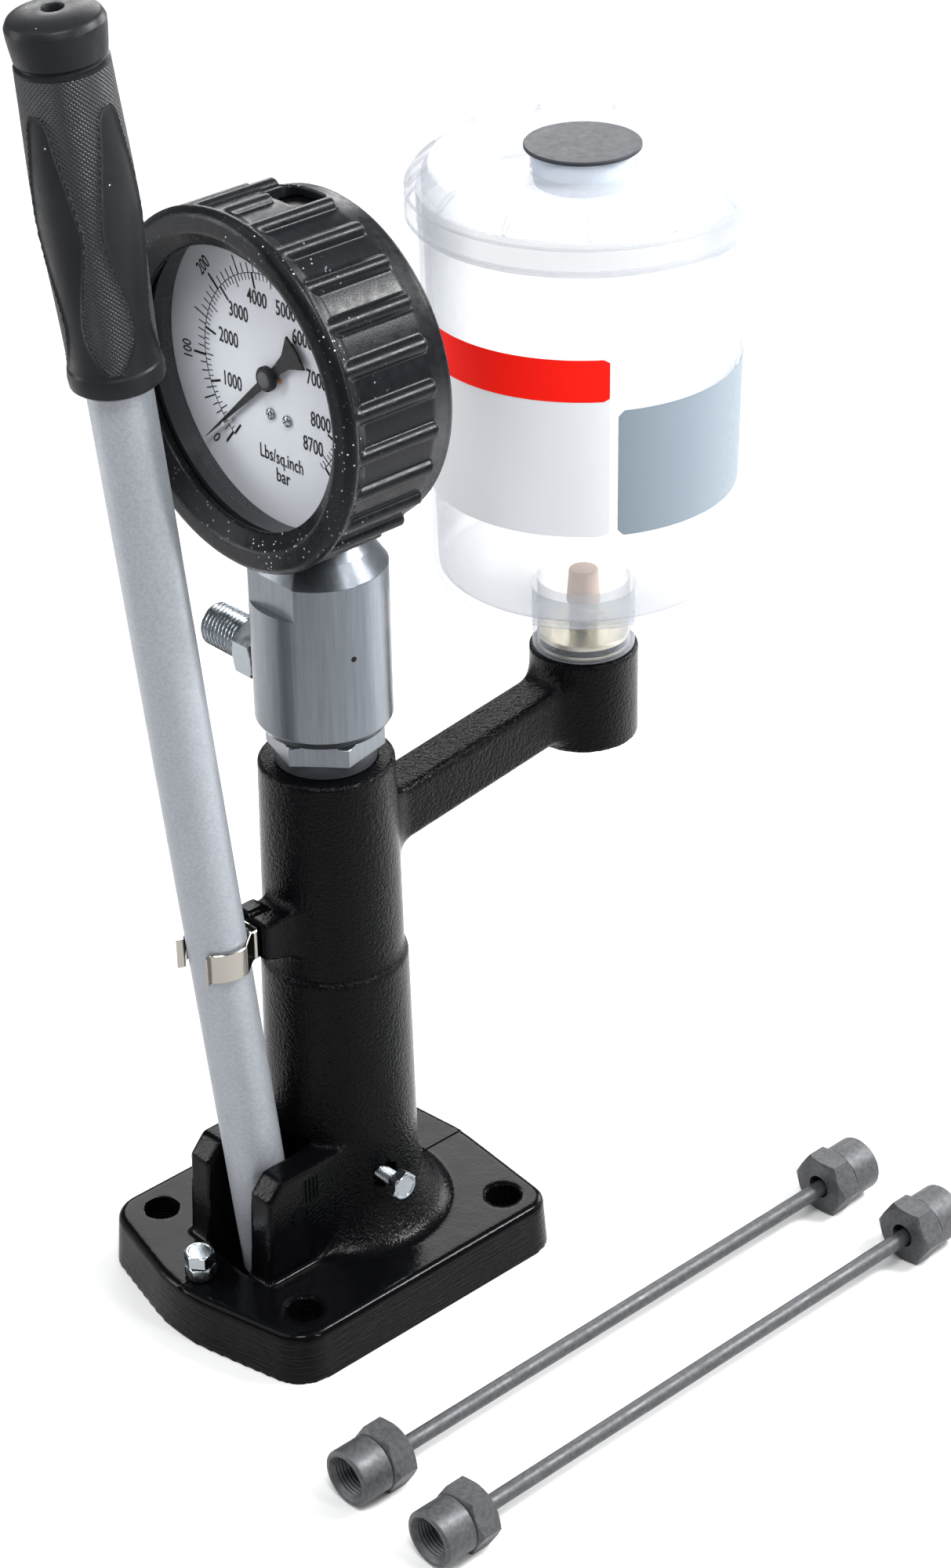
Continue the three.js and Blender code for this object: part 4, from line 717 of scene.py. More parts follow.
def casting_field(x, y, z):
    top = PLATE_TOP - PARTING_STEP * (y < 0)
    plate = rounded(outline_distance(x, y, PLATE_OUTLINE) + 1.5 * z / PLATE_TOP, z - top, 2.4)
    reach = np.hypot(x, y)
    column = rounded(reach - np.interp(z, COLUMN_WALL_Z, COLUMN_WALL_R), z - COLUMN_TOP, 1.3)
    ears = rounded(outline_distance(x, z, EAR_OUTLINE), between(np.abs(y), SLOT_HALF, EAR_OUTER), 1.1)
    under = LUG_LOW - LUG_DROP * np.clip((x + LUG_REACH) / 10.6, 0, 1.2) - z
    ends = np.maximum(under, -LUG_REACH - x)
    lug = rounded(np.maximum(z - LUG_TOP, ends), between(y, -9.3, 1.0), 1.0)
    lug = np.minimum(lug, rounded(np.maximum(z - LUG_TOP, ends), between(y, 0, 7.5), 2.0))
    pad = rounded(np.maximum(z - LUG_TOP - 1.3, ends), np.maximum(between(y, 0, 7.2), x + 29.8), 0.7)
    lug = np.maximum(np.minimum(lug, pad), x + 18)
    middle = ARM_MIDDLE + ARM_RISE * x
    arm = rounded(np.abs(z - middle) * ARM_COSINE - 10.7, np.abs(y) - 9.0, 2.6)
    arm = np.maximum(arm, np.maximum(8 - x, x - BOSS_X))
    boss_reach = np.hypot(x - BOSS_X, y)
    boss = rounded(boss_reach - BOSS_RADIUS, between(z, BOSS_FOOT, BOSS_TOP), 0.9)
    body = filled(plate, column, 5.0)
    body = filled(body, ears, 2.2)
    body = filled(body, lug, 4.0)
    body = filled(body, filled(arm, boss, 7.0), 8.0)
    body = np.maximum(body, z - COLUMN_TOP)
    body = np.maximum(body, -z)
    slot_top = 62.2 + np.clip(x + 27.8, 0, 10.3) * 0.84
    slot_walls = np.maximum(np.abs(y) - SLOT_HALF, BORE_FLOOR - z)
    slot_ends = np.maximum(np.maximum(SLOT_FRONT - x, x), z - slot_top)
    pin_reach = np.hypot(x - LEVER_PIVOT[0], z - LEVER_PIVOT[2])
    guide_reach = np.hypot(x - GUIDE_SCREW[0], z - GUIDE_SCREW[1])
    cuts = [
        np.maximum(reach - BORE, BORE_FLOOR - z),
        np.maximum(slot_walls, slot_ends),
        np.maximum(pin_reach - PIN_RADIUS - 0.3, np.abs(y) - PIN_END - 0.1),
        np.hypot(x - STOP_SCREW_X, y) - SCREW_HOLE,
        np.maximum(guide_reach - SCREW_HOLE, y),
        np.maximum(guide_reach - 5.0, y + 23.8),
        np.maximum(np.hypot(y, z - CLIP_HEIGHT) - 2.2, x),
        np.maximum(boss_reach - BOSS_HOLE, BOSS_HOLE_FLOOR - z),
    ]
    for px, py in BOLT_PLACES:
        cuts.append(np.hypot(x - px, y - py) - BOLT_HOLE)
    for cut in cuts:
        body = np.maximum(body, -cut)
    return body


def make_casting():
    near = -math.ceil(59 / CASTING_CELL) * CASTING_CELL
    points, faces = skin(casting_field, (-86.2, near, -2.1), (147.5, 59.6, 213), CASTING_CELL)
    # The points beside the plate's parting line are drawn up to it, for a crisp step
    beside = (np.abs(points[:, 1]) < CASTING_CELL) & (np.abs(points[:, 2] - PLATE_TOP) < 0.8)
    beside &= (points[:, 0] < PARTING_FRONT[1]) | (points[:, 0] > PARTING_REAR[0])
    far = points[:, 1] > 0
    points[beside, 1] = np.where(far, 0.12, -0.12)[beside]
    level = beside & (points[:, 0] > PARTING_FRONT[0]) & (points[:, 0] < PARTING_REAR[1])
    points[level, 2] = PLATE_TOP - PARTING_STEP
    points[level & far, 2] = PLATE_TOP
    shape = (points, faces)
    finished("cast_stand", shape, "cast_black_paint", "stand", ("base_casting",), sharp=50, even=False)
    pin_rows = [(0, -PIN_END), (PIN_RADIUS, -PIN_END, 0.5), (PIN_RADIUS, PIN_END, 0.5), (0, PIN_END)]
    pivot = along_y(*LEVER_PIVOT)
    pin = spun(eased(pin_rows, 3), 48, pivot)
    rims = []
    for side in (-1, 1):
        low = side * 22.1
        high = side * 22.85
        rims.append(spun([(3.0, low), (3.75, low), (3.55, high), (3.2, high)], 48, pivot))
    finished("lever_pin_riveted", joined(pin, *rims), "cast_black_paint", "stand", ("lever_pin",))


# Gauge: its boot, its case and the dial with its print
GAUGE_Z = 357.6
ON_GAUGE = along_x(0, 0, GAUGE_Z)
DIAL_SCREW_Z = GAUGE_Z - 13.6
PRINT_X = -15.5
PRINT_DEPTH = 0.06
SCALE_START = 39.5
SCALE_END = 314.5
SCALE_RING = 34.6
SCALE_HALF = 0.12
PSI_START = 38.1
PSI_STEP = 32.0
PSI_NUMBERS = (("1000", 21.2, -8.4), ("2000", 21.9, 6.8), ("3000", 16.1, 17.5), ("4000", 6.2, 25.1),
               ("5000", -8.1, 24.9), ("6000", -15.8, 17.5), ("7000", -22.0, 5.4), ("8000", -23.3, -9.0),
               ("8700", -19.0, -18.7))
RIB_COUNT = 26
RIB_TURN = math.radians(2)
BOOT_PROFILE = eased([
    (48, -30.2), (48, -31.4, 0.6), (53.4, -35.9, 1.6), (59.4, -35.9, 2.6), (62, -33.2, 1.6),
    (60.1, -30.3, 1.2), (58.8, -27.5, 2.0), (58.8, 2.0, 6), (57.3, 9.0, 4), (57.0, 12.0, 1.8),
    (42, 12.0, 0.6), (42, 8.9), (54.3, 8.9), (54.3, -22.9), (55.5, -22.9), (55.5, -29.9), (48, -29.9),
], 5)


def boot_field(x, y, z):
    up = z - GAUGE_Z
    reach = np.hypot(y, up)
    wall = outline_distance(reach + 0 * x, x + 0 * reach, BOOT_PROFILE)
    turn = np.arctan2(y, up) - RIB_TURN
    step = 2 * math.pi / RIB_COUNT
    number = np.round(turn / step)
    off = turn - number * step
    across = reach * np.sin(off)
    rise = reach * np.cos(off) - 58.5
    back = np.where(np.abs(number) < 0.5, -12.0, 2.0)
    ribs = rounded(np.hypot(across, rise) - 2.85, np.maximum(-32.5 - x, x - back), 0.5)
    ribs = np.maximum(ribs, 55.0 - reach)
    body = filled(wall, ribs, 0.5)
    along = turn * 56.0
    qx = np.abs(x + 1.75) - 3.25
    qy = np.abs(along) - 6.0
    slot = np.hypot(np.maximum(qx, 0), np.maximum(qy, 0)) + np.minimum(np.maximum(qx, qy), 0) - 4.0
    body = np.maximum(body, -np.maximum(slot, 50 - reach * np.sign(up)))
    stem = np.maximum(np.hypot(x, y) - 13.0, up + 49)
    return np.maximum(body, -stem)


def make_boot():
    shape = skin(boot_field, (-38, -65, GAUGE_Z - 65), (14, 65, GAUGE_Z + 65), BOOT_CELL)
    finished("gauge_boot_moulded", shape, "black_rubber", "stand", ("gauge_boot",), sharp=60, even=False)


def make_gauge():
    case_rows = [(0, 8.6), (54, 8.6, 1.5), (54, -23.2), (52.8, -23.2), (52.8, 7.4), (0, 7.4)]
    case = spun(eased(case_rows), 120, ON_GAUGE)
    finished("gauge_case_drawn", case, "black_enamel", "stand", ("gauge_case",))
    bezel = spun(eased([
        (50.5, -29.6, 0.4), (55.2, -29.6, 1.2), (55.2, -23.5), (53.7, -23.5), (53.7, -27.1), (50.5, -27.1),
    ]), 144, ON_GAUGE)
    liner = spun([
        (52.1, -15.7), (52.35, -15.7), (52.35, -25.1), (50.4, -25.1), (50.4, -24.8), (52.1, -24.8),
    ], 144, ON_GAUGE)
    finished("gauge_bezel_rolled", bezel, "black_enamel", "stand", ("gauge_bezel",))
    finished("gauge_liner", liner, "black_enamel", "stand", material=liner_grey)
    glass = spun(eased([(0, -27.4), (53.4, -27.4), (53.4, -25.2), (0, -25.2)]), 120, ON_GAUGE)
    finished("gauge_window", glass, "glass", "stand", ("gauge_glass",))
    make_dial()


def on_dial(turn, reach, x):
    """A place on the dial: the turn is from straight down, clockwise for someone who faces it."""
    a = math.radians(turn)
    return (x, reach * math.sin(a), GAUGE_Z - reach * math.cos(a))


def dial_axes(turn):
    """A frame on the dial whose Y points outward at a turn and whose Z faces the viewer."""
    a = math.radians(turn)
    outward = Vector((0, math.sin(a), -math.cos(a)))
    ahead = Vector((-1, 0, 0))
    right = outward.cross(ahead)
    place = Matrix((right, outward, ahead)).transposed().to_4x4()
    place.translation = Vector((PRINT_X, 0, GAUGE_Z))
    return place


def spread_tree():
    """The node tree that sets copies of one bar out round local Z at even turns."""
    tree = bpy.data.node_groups.new("spread_round_a_centre", "GeometryNodeTree")
    sockets = {}
    for name, kind in (("Bar", "Object"), ("Count", "Int"), ("First Turn", "Float"), ("Step", "Float"),
                       ("Finish", "Material")):
        socket = tree.interface.new_socket(name, in_out="INPUT", socket_type=f"NodeSocket{kind}")
        sockets[name] = socket.identifier
    tree.interface.new_socket("Geometry", in_out="OUTPUT", socket_type="NodeSocketGeometry")
    given = tree.nodes.new("NodeGroupInput").outputs
    link = tree.links.new
    spots = tree.nodes.new("GeometryNodePoints")
    link(given["Count"], spots.inputs["Count"])
    bar = tree.nodes.new("GeometryNodeObjectInfo")
    link(given["Bar"], bar.inputs["Object"])
    index = tree.nodes.new("GeometryNodeInputIndex")
    turn = tree.nodes.new("ShaderNodeMath")
    turn.operation = "MULTIPLY_ADD"
    link(index.outputs["Index"], turn.inputs[0])
    link(given["Step"], turn.inputs[1])
    link(given["First Turn"], turn.inputs[2])
    angle = tree.nodes.new("ShaderNodeCombineXYZ")
    link(turn.outputs["Value"], angle.inputs["Z"])
    spread = tree.nodes.new("GeometryNodeInstanceOnPoints")
    link(spots.outputs["Points"], spread.inputs["Points"])
    link(bar.outputs["Geometry"], spread.inputs["Instance"])
    link(angle.outputs["Vector"], spread.inputs["Rotation"])
    real = tree.nodes.new("GeometryNodeRealizeInstances")
    link(spread.outputs["Instances"], real.inputs["Geometry"])
    finish = tree.nodes.new("GeometryNodeSetMaterial")
    link(real.outputs["Geometry"], finish.inputs["Geometry"])
    link(given["Finish"], finish.inputs["Material"])
    link(finish.outputs["Geometry"], tree.nodes.new("NodeGroupOutput").inputs["Geometry"])
    return tree, sockets


SPREAD_TREE, SPREAD_SOCKETS = spread_tree()


def spread_round(shape, count, first, step, material, place):
    """Copies of a shape round local Z, the first at a turn and each a step on, as one shape."""
    bar_mesh = bpy.data.meshes.new("bar")
    bar_mesh.from_pydata(np.asarray(shape[0], float).tolist(), [], shape[1])
    bar = bpy.data.objects.new("bar", bar_mesh)
    mesh = bpy.data.meshes.new("bars")
    holder = bpy.data.objects.new("bars", mesh)
    for item in (bar, holder):
        bpy.context.scene.collection.objects.link(item)
    modifier = holder.modifiers.new("bars", "NODES")
    modifier.node_group = SPREAD_TREE
    values = {"Bar": bar, "Count": count, "First Turn": first, "Step": step, "Finish": material}
    for name, value in values.items():
        modifier[SPREAD_SOCKETS[name]] = value
    holder.update_tag()
    bpy.context.view_layer.update()
    made = bpy.data.meshes.new_from_object(holder.evaluated_get(bpy.context.evaluated_depsgraph_get()))
    points = [tuple(v.co) for v in made.vertices]
    faces = [tuple(p.vertices) for p in made.polygons]
    for item in (bar, holder):
        bpy.data.objects.remove(item)
    for item in (bar_mesh, mesh, made):
        bpy.data.meshes.remove(item)
    return moved((points, faces), place)


def lettering(text, height, width_share, place, shift):
    """Generic words or numbers as thin raised print, centred on a place."""
    curve = bpy.data.curves.new("print", "FONT")
    curve.body = text
    curve.size = height / 0.7
    curve.align_x = "CENTER"
    curve.align_y = "CENTER"
    curve.resolution_u = 3
    curve.offset = 0.035 * height / 4
    holder = bpy.data.objects.new("print", curve)
    bpy.context.scene.collection.objects.link(holder)
    bpy.context.view_layer.update()
    made = bpy.data.meshes.new_from_object(holder.evaluated_get(bpy.context.evaluated_depsgraph_get()))
    flat = bmesh.new()
    flat.from_mesh(made)
    bmesh.ops.triangulate(flat, faces=flat.faces)
    grown = bmesh.ops.extrude_face_region(flat, geom=flat.faces[:])
    for item in grown["geom"]:
        if isinstance(item, bmesh.types.BMVert):
            item.co.z += PRINT_DEPTH
    bmesh.ops.recalc_face_normals(flat, faces=flat.faces[:])
    points = [(v.co.x * width_share + shift[0], v.co.y + shift[1], v.co.z) for v in flat.verts]
    flat.verts.index_update()
    faces = [tuple(v.index for v in f.verts) for f in flat.faces]
    flat.free()
    bpy.data.objects.remove(holder)
    bpy.data.curves.remove(curve)
    bpy.data.meshes.remove(made)
    return moved((points, faces), place)


def ticks(count, first_turn, step, inner, outer, width):
    """Marks on the dial from one radius to another, at even turns in degrees."""
    face = dial_axes(0)
    # A growing turn is clockwise for the viewer, against the usual sense about the face's normal
    first = -math.radians(first_turn)
    mark = box_shape((-width / 2, inner, -PRINT_DEPTH / 2), (width / 2, outer, PRINT_DEPTH / 2))
    return spread_round(mark, count, first, -math.radians(step), materials["print_black"], face)


def scale_arc():
    """The fine line that carries the marks, as a thin bar bent round the dial."""
    steps = 120
    inner, outer = SCALE_RING - SCALE_HALF, SCALE_RING + SCALE_HALF
    front, back = -15.52, -15.44
    rings = []
    for k in range(steps + 1):
        turn = SCALE_START + (SCALE_END - SCALE_START) * k / steps
        corners = ((inner, back), (outer, back), (outer, front), (inner, front))
        rings.append([on_dial(turn, reach, x) for reach, x in corners])
    return swept(rings)


def make_dial():
    face = spun([(2.4, -15.4), (52.3, -15.4), (52.3, -14.6), (2.4, -14.6)], 120, ON_GAUGE)
    finished("gauge_dial_face", face, "dial_face", "stand", ("gauge_dial",))
    sweep = SCALE_END - SCALE_START
    marks = [
        ticks(61, SCALE_START, sweep / 60, SCALE_RING, 38.0, 0.34),
        ticks(13, SCALE_START, sweep / 12, SCALE_RING, 41.0, 0.46),
        ticks(7, SCALE_START, sweep / 6, SCALE_RING, 40.6, 0.85),
        ticks(9, PSI_START, PSI_STEP, 29.2, SCALE_RING, 0.8),
        ticks(18, PSI_START, PSI_STEP / 2, 30.6, SCALE_RING, 0.35),
        ticks(88, PSI_START, PSI_STEP / 10, 32.3, SCALE_RING, 0.28),
    ]
    marks.append(scale_arc())
    for k in range(7):
        turn = SCALE_START + sweep * k / 6
        # The first number stands a little past its mark
        if k == 0:
            turn += 5
        marks.append(lettering(str(100 * k), 4.5, 0.72, dial_axes(turn), (0, 44.0)))
    upright_face = dial_axes(180)
    for text, y, z in PSI_NUMBERS:
        marks.append(lettering(text, 5.2, 0.67, upright_face, (-y, z)))
    marks.append(lettering("Lbs/sq.inch", 4.9, 0.72, upright_face, (2.5, -28.7)))
    marks.append(lettering("bar", 4.9, 0.76, upright_face, (2.9, -35.1)))
    hub_rows = [(2.6, -17.4), (4.3, -17.4), (4.3, -19.0, 0.5), (3.6, -19.6, 0.3), (2.6, -19.6)]
    hub = spun(eased(hub_rows, 3), 48, ON_GAUGE)
    finished("pointer_hub_rim", hub, "black_enamel", "pointer", material=materials["black_enamel"])
    cap = spun(eased([(0, -17.5), (2.9, -17.5), (2.9, -19.7, 0.4), (0, -20.0)], 3), 48, ON_GAUGE)
    finished("pointer_hub_cap", cap, "phosphated_steel", "pointer")
    spot = spun(eased([(0, -15.0), (0.95, -15.0), (0.95, -15.9, 0.3), (0, -15.9)], 3), 24,
                along_x(0, -3.6, GAUGE_Z - 0.4))
    finished("dial_spot", spot, "dial_face", "stand", material=signal_orange)
    finished("gauge_scale", joined(*marks), "print_black", "stand", material=materials["print_black"],
             even=False)
    make_dial_screws()


def make_dial_screws():
    rows = eased([
        (0, -16.75), (1.2, -16.75), (1.95, -16.3, 0.3), (1.95, -15.7), (1.0, -15.7), (1.0, -11.5),
        (0, -11.5),
    ], 3)
    # Each head's cross recess is not cut: a thin black cross standing just proud of the head is painted
    # shade in place of the recess
    upright_recess_shade = box_shape((-0.17, -1.2, 16.72), (0.17, 1.2, 16.8))
    level_recess_shade = box_shape((-1.2, -0.17, 16.72), (1.2, 0.17, 16.8))
    for i, shift in enumerate((-6.8, 1.6)):
        head = spun(rows, 40, along_x(0, shift, DIAL_SCREW_Z))
        finished(f"dial_screw_{i + 1}_head", head, "bright_zinc", "stand", (f"dial_screw_{i + 1}",))
        face = at(0, shift, DIAL_SCREW_Z) @ Matrix.Rotation(-math.pi / 2, 4, "Y")
        cross = moved(joined(upright_recess_shade, level_recess_shade), face @ Matrix.Rotation(0.5 + i, 4, "Z"))
        # The painted recess shade, drawn in the print's black
        finished(f"dial_screw_{i + 1}_cross", cross, "print_black", "stand",
                 material=materials["print_black"], even=False)


# Pump hexagon, valve block and outlet
PUMP_HEX_TURN = math.radians(12.5)
PUMP_HEX_ACROSS = 36
PUMP_HEX_LOW = 215.6
PUMP_HEX_HIGH = 224.2
BLOCK_RADIUS = 24.0
FLAT_HALF = 21.0
FLAT_LOW = 274.0
OUTLET_Z = 240.4
PLUG_TURN = math.radians(-103)
PLUG_Z = 258.8
ON_OUTLET = along_y(0, 0, OUTLET_Z)


def block_flats(turns, reach, height):
    """The two flats at the block's head, each ending below on a square ledge."""
    if height < FLAT_LOW:
        return reach
    return FLAT_HALF / np.maximum(np.abs(np.cos(turns)), 0.2)


def make_pump_head():
    hexagon = hex_profile(PUMP_HEX_ACROSS, PUMP_HEX_LOW, PUMP_HEX_HIGH, low_cut=False)
    profile = [(4.3, 209.3), (14, 209.3), (14, PUMP_HEX_LOW)] + hexagon
    profile += [(10.5, PUMP_HEX_HIGH), (10.5, 246.0), (1.5, 246.0), (1.5, 240.0), (4.3, 240.0)]
    flats = hexagon_trim(PUMP_HEX_ACROSS, PUMP_HEX_LOW, PUMP_HEX_HIGH, PUMP_HEX_TURN)
    head = spun(profile, trim=flats, turns=hexagon_turns(PUMP_HEX_TURN, 12))
    barrel = spun([
        (9, 128), (9, 168), (17.2, 168), (17.2, 172), (15.2, 172), (15.2, 180), (17.2, 180), (17.2, 209.3),
        (4.3, 209.3), (4.3, 128),
    ], 72)
    finished("pump_head", joined(head, barrel), "bright_zinc", "stand", ("pump_body",),
             materials["zinc_plate"], sharp=24)
    collar = spun(eased([(14.3, 210.6), (17.9, 210.6), (17.9, 215.3, 0.8), (14.3, 215.3)]), 96)
    finished("pump_collar", collar, "dark_plastic", "stand", ("column_seal_ring",))


def make_valve_block():
    crease = math.acos(FLAT_HALF / BLOCK_RADIUS)
    turns = [2 * math.pi * k / 180 for k in range(180)]
    turns += [v % (2 * math.pi) for v in (crease, -crease, math.pi - crease, math.pi + crease)]
    turns = sorted(set(round(v, 6) for v in turns))
    rows = eased([
        (10.8, 246.3), (10.8, 224.5), (21.6, 224.5, 0.5), (BLOCK_RADIUS, 228.0, 1.5),
        (BLOCK_RADIUS, FLAT_LOW - 0.02),
    ], 4)
    rows += eased([
        (BLOCK_RADIUS, FLAT_LOW + 0.02), (BLOCK_RADIUS, 285.7, 0.7), (19.3, 292.5, 1.0), (16.6, 296.0, 0.5),
        (7, 296.0), (6.5, 295.6), (6.5, 276.0), (7.0, 276.0), (7.0, 246.3),
    ], 4)
    block = spun(rows, trim=block_flats, turns=turns)
    plug_rows = eased([(0, 20), (1.1, 20), (1.1, BLOCK_RADIUS + 0.05, 0.2), (0, BLOCK_RADIUS + 0.05)], 3)
    outward = Matrix.Rotation(PLUG_TURN, 4, "Z") @ Matrix.Rotation(math.pi / 2, 4, "Y")
    plug = spun(plug_rows, 24, at(0, 0, PLUG_Z) @ outward)
    finished("valve_block_turned", block, "zinc_plate", "stand", ("valve_block",), sharp=22)
    finished("valve_block_plug", plug, "dark_plastic", "stand", material=materials["print_black"])


def thread_profile(radius, pitch, low, high, each=10):
    """Rows of a turned thread, whose groove is cut by the trim below."""
    count = int((high - low) / pitch * each)
    return [(radius, low + (high - low) * k / count) for k in range(count + 1)]


def thread_trim(depth, pitch, low, high, fade=1.2):
    def trim(turns, reach, height):
        if not low - SLACK <= height <= high + SLACK:
            return reach
        share = (height / pitch - turns / (2 * math.pi)) % 1
        groove = np.clip(1.35 * (1 - np.abs(2 * share - 1)) - 0.12, 0, 1)
        fading = min(1.0, (height - low) / fade)
        return reach - depth * groove * fading
    return trim


def make_outlet():
    across, start, end = 21, 26, 36.5
    first = 0.454
    pitch = 1.85
    rows = [(0, 25.0), (9.2, 25.0), (9.2, start)] + hex_profile(across, start, end) + [(7.6, end), (0, end)]
    flats = hexagon_trim(across, start, end, first)
    corner = spun(rows, place=ON_OUTLET, trim=flats, turns=hexagon_turns(first, 10))
    rows = [(0, 35.5), (7.2, 35.5), (7.2, 37.1), (8.0, 37.5)] + thread_profile(8.0, pitch, 37.6, 57.0, 12)
    rows += [(7.7, 57.3), (7.2, 57.7), (6.8, 58.0), (4.5, 58.0), (2.0, 53.5), (2.0, 46.0), (0, 46.0)]
    stub = spun(rows, 72, ON_OUTLET, trim=thread_trim(0.8, pitch, 37.5, 58.1))
    root = spun([(0, 15.3), (7.4, 15.3), (7.4, 25.5), (0, 25.5)], 48, ON_OUTLET)
    finished("outlet_fitting", joined(root, corner, stub), "bright_zinc", "stand", ("outlet_adapter",),
             sharp=24)
    washer = spun(eased([(8.2, 24.3), (10.4, 24.3, 0.4), (10.4, 25.7, 0.4), (8.2, 25.7)], 3), 72, ON_OUTLET)
    finished("outlet_ring", washer, "copper", "stand", ("outlet_washer",))


# Lever: made along its own axis from the pivot, then leaned over
LEVER = at(*LEVER_PIVOT) @ Matrix.Rotation(-LEVER_LEAN, 4, "Y")
TUBE_RADIUS = 10.65
TUBE_INNER = 8.05
TUBE_LOW = -9.0
TUBE_HIGH = 448.0
FOOT_REACH = 34.0
GRIP_SIDES = 220
GRIP_SEAM = -124.0
GRIP_WALL = (342, 440)
# Half of a smooth panel's outline, as turns in degrees from a seam and heights along the lever
PANEL_TURN = 45.0
PANEL_EDGE = ((3.0, 339.0), (9.2, 342.4), (22.3, 349.0), (30.2, 357.0), (26.0, 367.0), (15.5, 380.0),
              (10.8, 389.5), (12.5, 394.0), (17.5, 404.5), (26.4, 418.0), (30.5, 425.0), (36.5, 427.9),
              (45.0, 428.7))


def grip_profile():
    return eased([
        (10.95, 333.9), (14.0, 333.9, 0.6), (15.2, 335.0, 0.4), (15.4, 338.0), (15.05, 340.6, 0.6),
        (14.5, 341.4, 0.4), (14.45, 345), (14.6, 353), (15.0, 366), (15.6, 381), (16.0, 394), (15.95, 404),
        (15.5, 416), (15.0, 428), (14.6, 440.4), (13.4, 440.9, 0.3), (13.4, 441.8, 0.3), (14.3, 442.4, 0.5),
        (14.75, 445.5), (15.25, 450.0), (15.35, 452.6, 1.5), (14.2, 454.9, 2.0), (10.5, 456.3),
        (6.5, 456.9), (3.4, 457.0, 0.5), (3.0, 455), (3.0, 448.3), (10.95, 448.3),
    ], 4)


def make_lever():
    bar = spun(eased([
        (TUBE_INNER, TUBE_LOW), (TUBE_RADIUS, TUBE_LOW, 0.5), (TUBE_RADIUS, TUBE_HIGH, 0.4),
        (TUBE_INNER, TUBE_HIGH),
    ], 3), 96, LEVER)
    finished("lever_bar", bar, "lever_steel", "lever", ("lever_tube",))
    # Below the pivot only the tube's outer half goes on, clear of the column as the lever swings
    reach = [math.pi - 1.25 + 2.5 * k / 24 for k in range(25)]
    outer = [(TUBE_RADIUS * math.cos(a), TUBE_RADIUS * math.sin(a)) for a in reach]
    inner = [(8.6 * math.cos(a), 8.6 * math.sin(a)) for a in reversed(reach)]
    foot = drawn(outer + inner, -FOOT_REACH, TUBE_LOW + 0.5, LEVER)
    finished("lever_foot", foot, "lever_steel", "lever")
    make_grip()


def make_grip():
    """The grip as a fine sheet, its smooth panels edged by raised lines and the rest patterned."""
    profile = grip_profile()
    fine = []
    for a, b in zip(profile, profile[1:] + profile[:1]):
        fine.append(a)
        if a[0] > 14 and b[0] > 14 and 338 < a[1] < GRIP_WALL[1] and b[1] > a[1]:
            count = max(1, int((b[1] - a[1]) / 0.9))
            for k in range(1, count):
                fine.append((a[0] + (b[0] - a[0]) * k / count, a[1] + (b[1] - a[1]) * k / count))
    points, faces = spun(fine, GRIP_SIDES)
    reach = np.hypot(points[:, 0], points[:, 1])
    turn = np.degrees(np.arctan2(points[:, 1], points[:, 0]))
    height = points[:, 2]
    outside = grip_outside(turn, height)
    lift = 0.6 * np.exp(-(outside / 0.5) ** 2) - 0.2 * (outside < 0)
    on_wall = (reach > 13.8) & (height > GRIP_WALL[0]) & (height < GRIP_WALL[1])
    scale = np.where(on_wall, 1 + lift / np.maximum(reach, 1), 1)
    points[:, 0] *= scale
    points[:, 1] *= scale
    shape = moved((points, faces), LEVER)
    grip = finished("lever_grip_moulded", shape, "grip_rubber", "lever", ("lever_grip",), sharp=60,
                    even=False)
    grip.data.materials.append(grip_pattern)
    patterned = on_wall & (outside > 0)
    for polygon in grip.data.polygons:
        if patterned[list(polygon.vertices)].all():
            polygon.material_index = 1


def grip_outside(turn, height):
    """How far a place on the grip is outside the nearest of its four smooth panels."""
    edge = [(math.radians(a - PANEL_TURN) * GRIP_ROUND, z) for a, z in PANEL_EDGE]
    walk = [tuple(p) for p in smoothed(edge + [(-a, z) for a, z in reversed(edge[:-1])], 4)]
    nearest = np.full(len(turn), 50.0)
    for middle in range(4):
        off = (turn - GRIP_SEAM - PANEL_TURN - 90 * middle + 180) % 360 - 180
        nearest = np.minimum(nearest, outline_distance(np.radians(off) * GRIP_ROUND, height, walk))
    return nearest


def make_clip():
    """The spring clip, a bent strip from one flared lip round the tube and the lug to the other."""
    middle = np.array([-52.2, 0.0])
    inner = 11.6
    # The half towards -Y, from the middle of the base to the lip
    base = [(-39.1, 0), (-39.1, -2.8), (-39.1, -4.9), (-39.35, -5.5), (-40.1, -5.75), (-41.4, -5.75),
            (-42.8, -6.2), (-44.6, -7.5), (-46.4, -8.95), (-48.0, -10.3), (-48.75, -10.95)]
    near = [np.array(p, float) for p in base]
    for k in range(13):
        a = -math.radians(74 + 70 * k / 12)
        near.append(middle + inner * np.array([math.cos(a), math.sin(a)]))
    near += [np.array([-63.0, -7.35]), np.array([-64.2, -7.9])]
    far = [np.array([x, -y]) for x, y in reversed(near[1:])]
    walk = smoothed(far + near, 4)
    shape = strip(walk, 0.8, CLIP_HEIGHT - CLIP_HALF, CLIP_HEIGHT + CLIP_HALF)
    finished("lever_clip_bent", shape, "spring_steel", "stand", ("lever_clip",), sharp=40)
    screw = spun(eased([
        (0, -40.3), (2.3, -40.3, 0.4), (3.4, -39.5, 0.3), (3.4, -39.1), (1.8, -39.1), (1.8, -29.5),
        (0, -29.5),
    ], 3), 48, along_x(0, 0, CLIP_HEIGHT))
    finished("clip_screw_head", screw, "bright_zinc", "stand", ("clip_screw",))


# Stop screw, its lock nut and the guide screw
STOP_HEAD = 31.8
SCREW_ACROSS = 10


